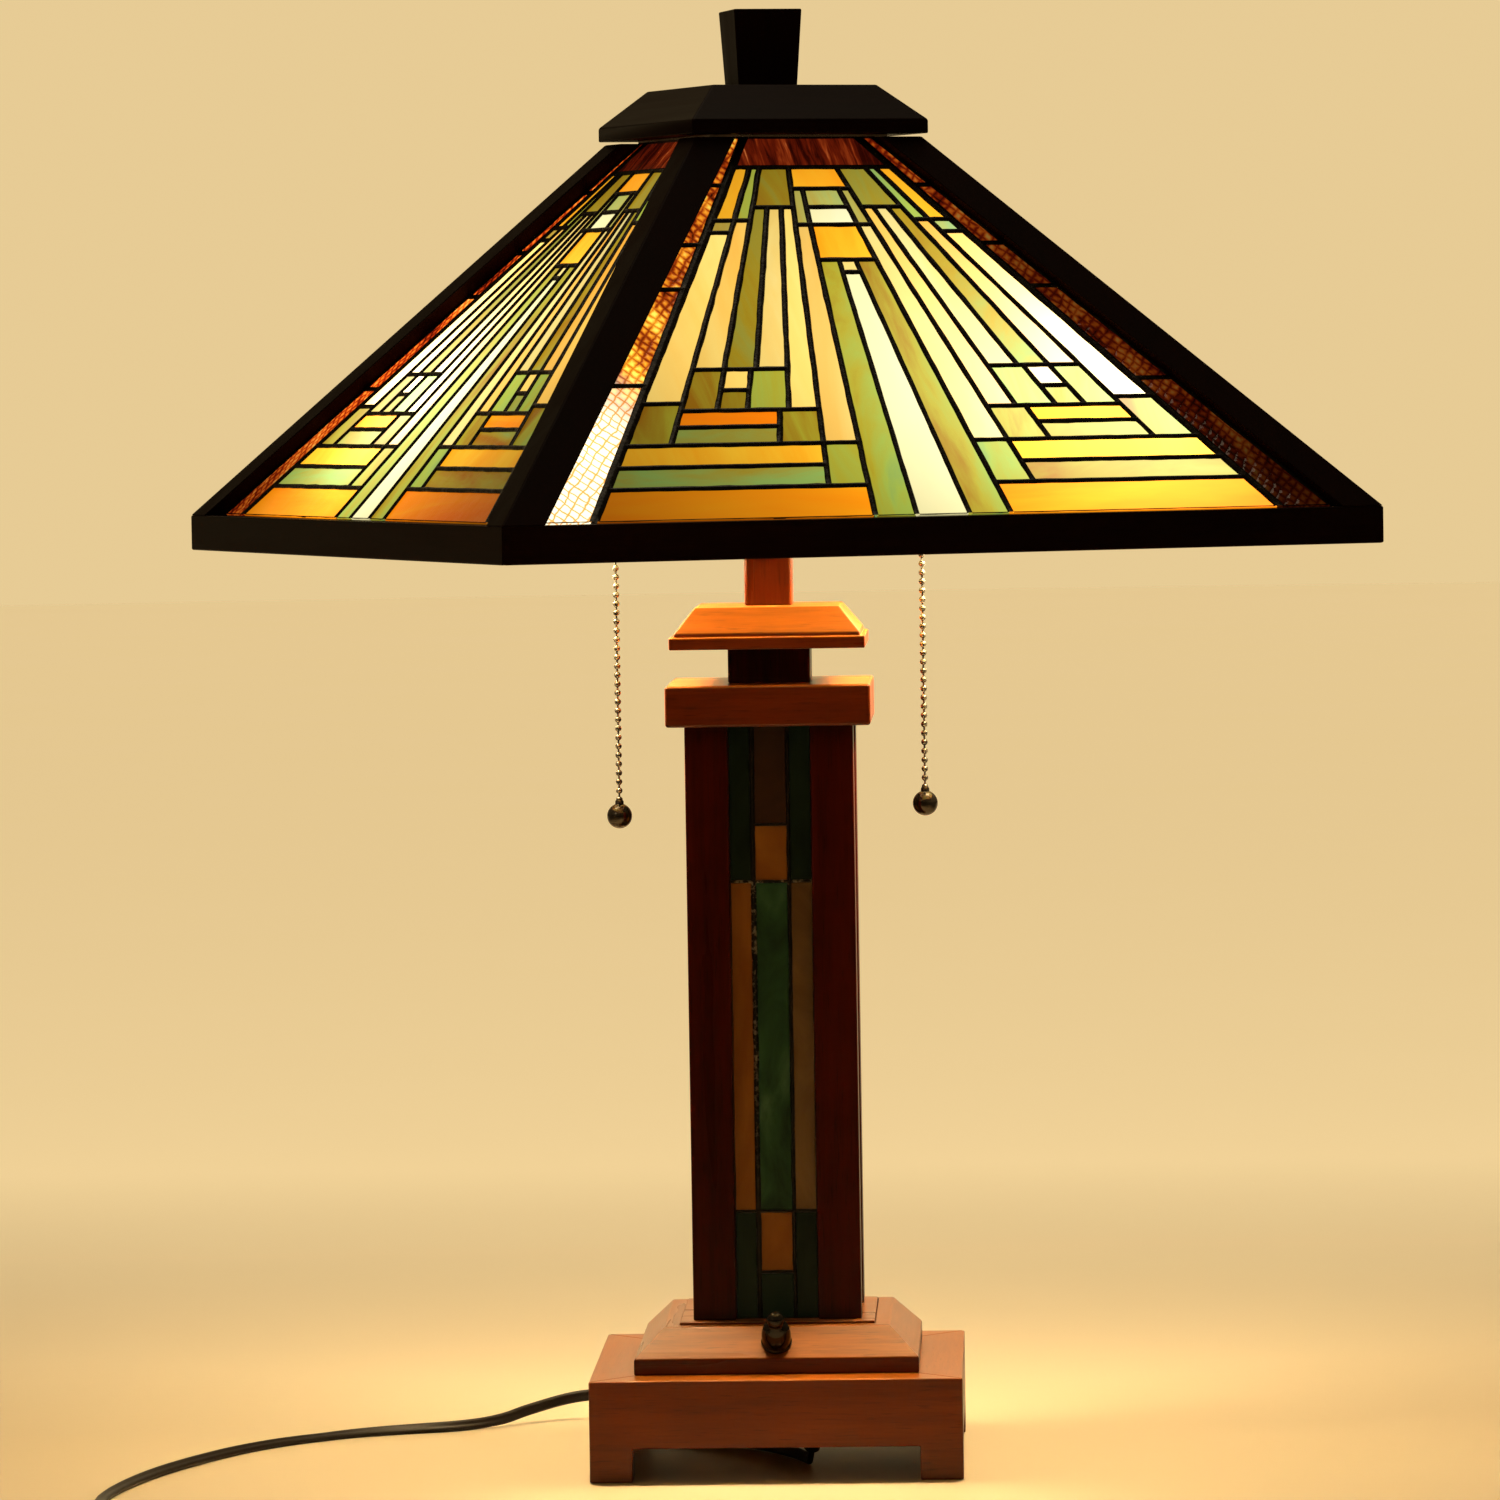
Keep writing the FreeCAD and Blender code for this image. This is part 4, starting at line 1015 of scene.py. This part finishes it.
def leaded_panel(name, cells, stretch, place, level_lead, metal_name, ripple=()):
    """Glass pieces and the lead round them. place turns (across, along, out) into a point."""
    glass, lead = Build(), Build()
    lowest = min(cell[6] for cell in cells)
    highest = max(cell[7] for cell in cells)
    for number, cell in enumerate(cells):
        left_low, right_low, left_high, right_high, left_lead, right_lead, low, high, kind = cell
        corners = [Vector((across, height * stretch)) for across, height in (
            (left_low, low), (right_low, low), (right_high, high), (left_high, high))]
        # the panel's own top and bottom edges lie in the frame, so their lead hardly shows
        low_lead = HIDDEN_LEAD if low == lowest else level_lead
        high_lead = HIDDEN_LEAD if high == highest else level_lead
        widths = [low_lead, right_lead, high_lead, left_lead]
        add_lead(lead, corners, widths, place, number * 1.37)
        add_glass(glass, inset(corners, [width * 0.6 for width in widths]), place, kind, kind in ripple)
    pieces = glass.make(f"{name}_pieces", [GLASS[kind] for kind in GLASS_ORDER])
    came = lead.make(f"{name}_lead", [MATERIALS[metal_name]])
    return pieces, came


def add_lead(build, corners, widths, place, seed):
    """Half a rounded bead of lead along each side of a cell, on both faces of the glass."""
    counts = [max(2, round((end - start).length / LEAD_STEP)) for start, end, *_ in sides(corners)]
    inner = inset(corners, widths)
    middle = inset(corners, [width * 0.5 for width in widths])
    waver = min(0.34, 0.6 * min(widths))
    edge = loop_points(inner, counts, waver, seed)
    loops = [
        (loop_points(corners, counts), RIDGE),
        (loop_points(middle, counts, waver * 0.3, seed), SHOULDER),
        (edge, FOOT),
        (edge, ROOT),
    ]
    for outside in (True, False):
        rows = []
        for loop, height in loops:
            depth = height if outside else -GLASS_THICKNESS - height
            rows.append([place(point.x, point.y, depth) for point in loop])
        build.grid(rows, wrap=True)


def add_glass(build, corners, place, kind, rippled):
    """One piece of glass: two faces and its edges, gently uneven on both faces."""
    across = (corners[1] - corners[0]).length
    along = (corners[3] - corners[0]).length
    pitch = 2.2 if rippled else 9.0
    columns = max(2, round(across / pitch))
    lines = max(2, round(along / pitch))
    deep = 0.55 if rippled else 0.12
    faces = []
    for outside in (True, False):
        rows = []
        for line in range(lines + 1):
            left = corners[0].lerp(corners[3], line / lines)
            right = corners[1].lerp(corners[2], line / lines)
            row = []
            for column in range(columns + 1):
                point = left.lerp(right, column / columns)
                wave = noise.noise(Vector((point.x * 0.23 + point.y * 0.12, point.y * 0.16, 3.0)))
                edge = line in (0, lines) or column in (0, columns)
                bulge = 0.0 if edge else deep * wave
                row.append(place(point.x, point.y, bulge if outside else -GLASS_THICKNESS - bulge))
            rows.append(row)
        faces.append(rows)
    slot = GLASS_ORDER.index(kind)
    front, back = faces
    build.grid(front, slot)
    build.grid(back, slot)
    for edge_front, edge_back in (
        (front[0], back[0]),
        (front[-1], back[-1]),
        ([row[0] for row in front], [row[0] for row in back]),
        ([row[-1] for row in front], [row[-1] for row in back]),
    ):
        build.grid([edge_front, edge_back], slot)


def shade_place(across, along, out):
    height = along / SLOPE
    y = -(shade_half(height) - GLASS_INSET)
    return Vector((across, y - out / SLOPE, height + out * LEAN / SLOPE))


def column_place(across, along, out):
    return Vector((across, -COLUMN_GLASS_FACE - out, along))


def turned_copies(items, names, turn_of):
    """Copies of a front panel for the other sides, each for its own CAD node."""
    for side, degrees in TURNS:
        for item, name in zip(items, names):
            piece = item if side == "front" else add_object(f"{name}_{side}", item.data.copy())
            piece.name = f"{name}_{side}"
            piece.rotation_euler = (0, 0, turn_of(degrees))
            yield side, piece
    bpy.context.view_layer.update()


def make_panels():
    shade = leaded_panel(
        "shade", shade_cells(), SLOPE, shade_place, SHADE_LEVEL_LEAD, "solder", ("border", "top"))
    column = leaded_panel("column", column_cells(), 1.0, column_place, COLUMN_LEVEL_LEAD, "lumpy_solder")
    rows = [
        (shade, ("shade_pieces", "shade_lead"), lambda turn: SHADE_YAW + math.radians(turn), "shade",
         "shade_glass"),
        (column, ("column_pieces", "column_lead"), math.radians, "root", "column_glass"),
    ]
    for items, names, turn_of, body, node in rows:
        for side, piece in list(turned_copies(items, names, turn_of)):
            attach(piece, body)
            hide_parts(f"{node}_{side}")


make_panels()


# ---- CAD nodes that stay

EASED_WIDTH = 0.7
# The material of each CAD slot that isn't wood.
SLOT_MATERIALS = {
    "plywood": "plywood", "plated_steel": "steel", "antique_brass": "bronze",
    "black_plastic": "black_plastic", "bulb_glass": "bulb", "cord": "cord",
}


def eased(item):
    """Eases a CAD piece's sharp edges as sandpaper does."""
    modified(item, "WELD", merge_threshold=0.00001)
    modified(item, "DECIMATE", decimate_type="DISSOLVE", angle_limit=math.radians(1))
    modified(item, "BEVEL", width=EASED_WIDTH * MM, segments=2, use_clamp_overlap=False,
             limit_method="ANGLE", angle_limit=math.radians(35), harden_normals=True)


def paint_nodes():
    """Gives each CAD node that stays its material, and eased edges where it is wood."""
    for entry in frame["record"]["subparts"]:
        name, slot = entry["node"], entry["material_slot"]
        item = frame["nodes"][name]
        is_wood = slot in ("stained_wood", "dark_wood")
        if name == "switch_nut":
            kind = "patina"
        else:
            kind = wood_of(name, slot) if is_wood else SLOT_MATERIALS.get(slot)
        if kind is None:
            continue
        item.data.materials.clear()
        item.data.materials.append(MATERIALS[kind])
        if is_wood:
            eased(item)


def wood_of(name, slot):
    """The wood of a piece, by its colour and the way its grain runs."""
    if slot == "dark_wood":
        return "black_mitred" if "apron" in name else "black_up"
    if name.startswith("base") or name == "step_mouldings":
        return "cherry_mitred"
    # The posts and the neck block take the cherry darkened as painted shade.
    if "post" in name:
        return "cherry_post_shaded"
    others = {"finial": "black_up", "cap": "black_mitred",
              "neck_block": "cherry_post_shaded", "stem_block": "cherry_up"}
    return others.get(name, "cherry_across")


paint_nodes()


# ---- lamp fittings


def lying(side):
    """Turns something made along Z so that it points along X, at the lamps' height."""
    turn = Matrix.Rotation(math.radians(90 * side), 4, "Y")
    return Matrix.Translation((0, 0, LAMP_HEIGHT)) @ turn


def make_bulb(side, name):
    build = Build()
    radius, steps = 23.9, 12
    outline = [(0.0, 51), (12.6, 51), (12.8, 84), (13.4, 88), (15.4, 94), (18.6, 101)]
    for step in range(steps):
        angle = math.radians(-42 + 132 * step / (steps - 1))
        outline.append((radius * math.cos(angle), BULB_OFFSET + radius * math.sin(angle)))
    build.lathe(outline, 40, lying(side))
    bulb = build.make(f"{name}_envelope", [MATERIALS["bulb"]])
    bulb.visible_shadow = False
    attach(bulb, "root")
    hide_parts(name)


for side, name in ((-1, "bulb_left"), (1, "bulb_right")):
    make_bulb(side, name)


def make_knob():
    """Turned knob: a round body, a waist and a small domed tip, square to the bevel."""
    tilt = Matrix.Rotation(math.radians(45), 4, "X")
    place = Matrix.Translation((0, -59.85, 61.7)) @ tilt
    outline = [
        (0, -5.9), (1.9, -5.9), (1.9, 3.6), (6.2, 3.4), (6.3, 1.4), (6.7, 1.3), (6.95, 2.6),
        (7.05, 5.0), (6.9, 7.6), (6.4, 9.8), (5.6, 11.6), (4.5, 13.0), (3.6, 13.9), (3.4, 14.5),
        (3.8, 15.3), (4.15, 16.5), (4.1, 17.9), (3.4, 19.3), (2.0, 20.3), (0, 20.6),
    ]
    build = Build()
    build.lathe(outline, 32, place)
    knob = build.make("knob_turned", [MATERIALS["black_plastic"]])
    modified(knob, "SUBSURF", levels=1, render_levels=1)
    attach(knob, "knob")
    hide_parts("switch_knob")


make_knob()


def bead(build, centre, radius, steps=14, rings=8, slot=0):
    outline = []
    for ring in range(rings + 1):
        angle = math.pi * ring / rings
        outline.append((radius * math.sin(angle), -radius * math.cos(angle)))
    build.lathe(outline, steps, Matrix.Translation(centre), slot)


BEAD_PITCH = 4.23
BEAD_RADIUS = 1.6
BALL_RADIUS = 6.0
LINK_RADIUS = 0.45


def bead_and_link(build, x, z, gap):
    """A bead at height z, and the wire link across the gap over or under it."""
    bead(build, (x, 0, z), BEAD_RADIUS)
    inside = BEAD_RADIUS * 0.8
    ends = sorted((z + math.copysign(inside, gap), z + gap - math.copysign(inside, gap)))
    build.lathe([(LINK_RADIUS, end) for end in ends], 8, Matrix.Translation((x, 0, 0)))


def make_chain(side, x):
    """Ball chain: hollow beads on short wire links, with a ball at its end."""
    low, high = (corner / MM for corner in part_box(f"pull_chain_{side}"))
    chain = Build()
    ball_centre = low.z + BALL_RADIUS
    neck = ball_centre + BALL_RADIUS
    z = high.z - BEAD_RADIUS
    while z > neck + 1.0:
        bead_and_link(chain, x, z, -BEAD_PITCH)
        z -= BEAD_PITCH
    bead(chain, (x, 0, ball_centre), BALL_RADIUS, 32, 20, 1)
    collar = [(0, 2.0), (1.3, 1.9), (2.0, 1.1), (2.1, -0.4), (0, -0.8)]
    chain.lathe(collar, 20, Matrix.Translation((x, 0, neck)), 1)
    item = chain.make(f"pull_chain_{side}_beads", [MATERIALS["chain"], MATERIALS["chain_end"]])
    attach(item, f"{side}_chain")
    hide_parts(f"pull_chain_{side}")
    low, high = (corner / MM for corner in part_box(f"switch_chain_{side}"))
    short = Build()
    z = low.z + BEAD_RADIUS
    while z + BEAD_RADIUS <= high.z:
        bead_and_link(short, x, z, BEAD_PITCH)
        z += BEAD_PITCH
    item = short.make(f"switch_chain_{side}_beads", [MATERIALS["chain"]])
    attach(item, f"{side}_switch")
    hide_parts(f"switch_chain_{side}")


make_chain("left", -CHAIN_OFFSET)
make_chain("right", CHAIN_OFFSET)


# ---- floor and lights


def add_floor():
    """A disc, built of rings so that its faces stay small near the lamp."""
    edge, thickness = 14000, 30
    build = Build()
    build.lathe([(0.5, 0), (400, 0), (3000, 0), (edge, 0), (edge, -thickness)], 160)
    floor = build.make("floor", [floor_material()])
    floor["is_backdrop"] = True


def add_light(name, kind, place, power, color, **settings):
    data = bpy.data.lights.new(name, kind)
    data.energy = power
    data.color = color
    for setting, value in settings.items():
        setattr(data, setting, value)
    light = add_object(name, data)
    light.location = place
    return light


def add_lights():
    """A lamp in each bulb, and two soft lights above."""
    for side, name in ((-1, "lamp_left"), (1, "lamp_right")):
        place = (side * BULB_OFFSET * MM, 0, LAMP_HEIGHT * MM)
        add_light(name, "POINT", place, 15.0, (1.0, 0.70, 0.34), shadow_soft_size=0.024)
    for name, place, target, size, power, color in (
        ("key", (-1.8, -2.2, 1.6), (0, 0, 0.1), 0.6, 3.0, (1.0, 0.78, 0.50)),
        ("top", (0, 0.9, 3.0), (0, 0.6, 0), 2.0, 16, (1.0, 0.84, 0.58)),
    ):
        light = add_light(name, "AREA", place, power, color, shape="DISK", size=size)
        light.rotation_euler = (Vector(target) - light.location).to_track_quat("-Z", "Y").to_euler()
    add_world()


def add_world():
    """Pale and warm behind the lamp, dimmer in front of it."""
    world = bpy.data.worlds.new("studio")
    sky = Shader(world, "Generated")
    share = sky.spread(sky.split(sky.coordinates)[1], *BEHIND)
    color = sky.mix(share, (0.080, 0.048, 0.020), (0.80, 0.60, 0.30))
    background = sky.add("ShaderNodeBackground", {"Color": color, "Strength": 1.0})
    sky.add("ShaderNodeOutputWorld", {"Surface": background.outputs[0]})
    bpy.context.scene.world = world


add_floor()
add_lights()
bpy.context.scene.view_settings.view_transform = "Standard"

boxes = {"cad": cad_bounds, "visual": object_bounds()}
{name: [list(corner) for corner in box] for name, box in boxes.items()}
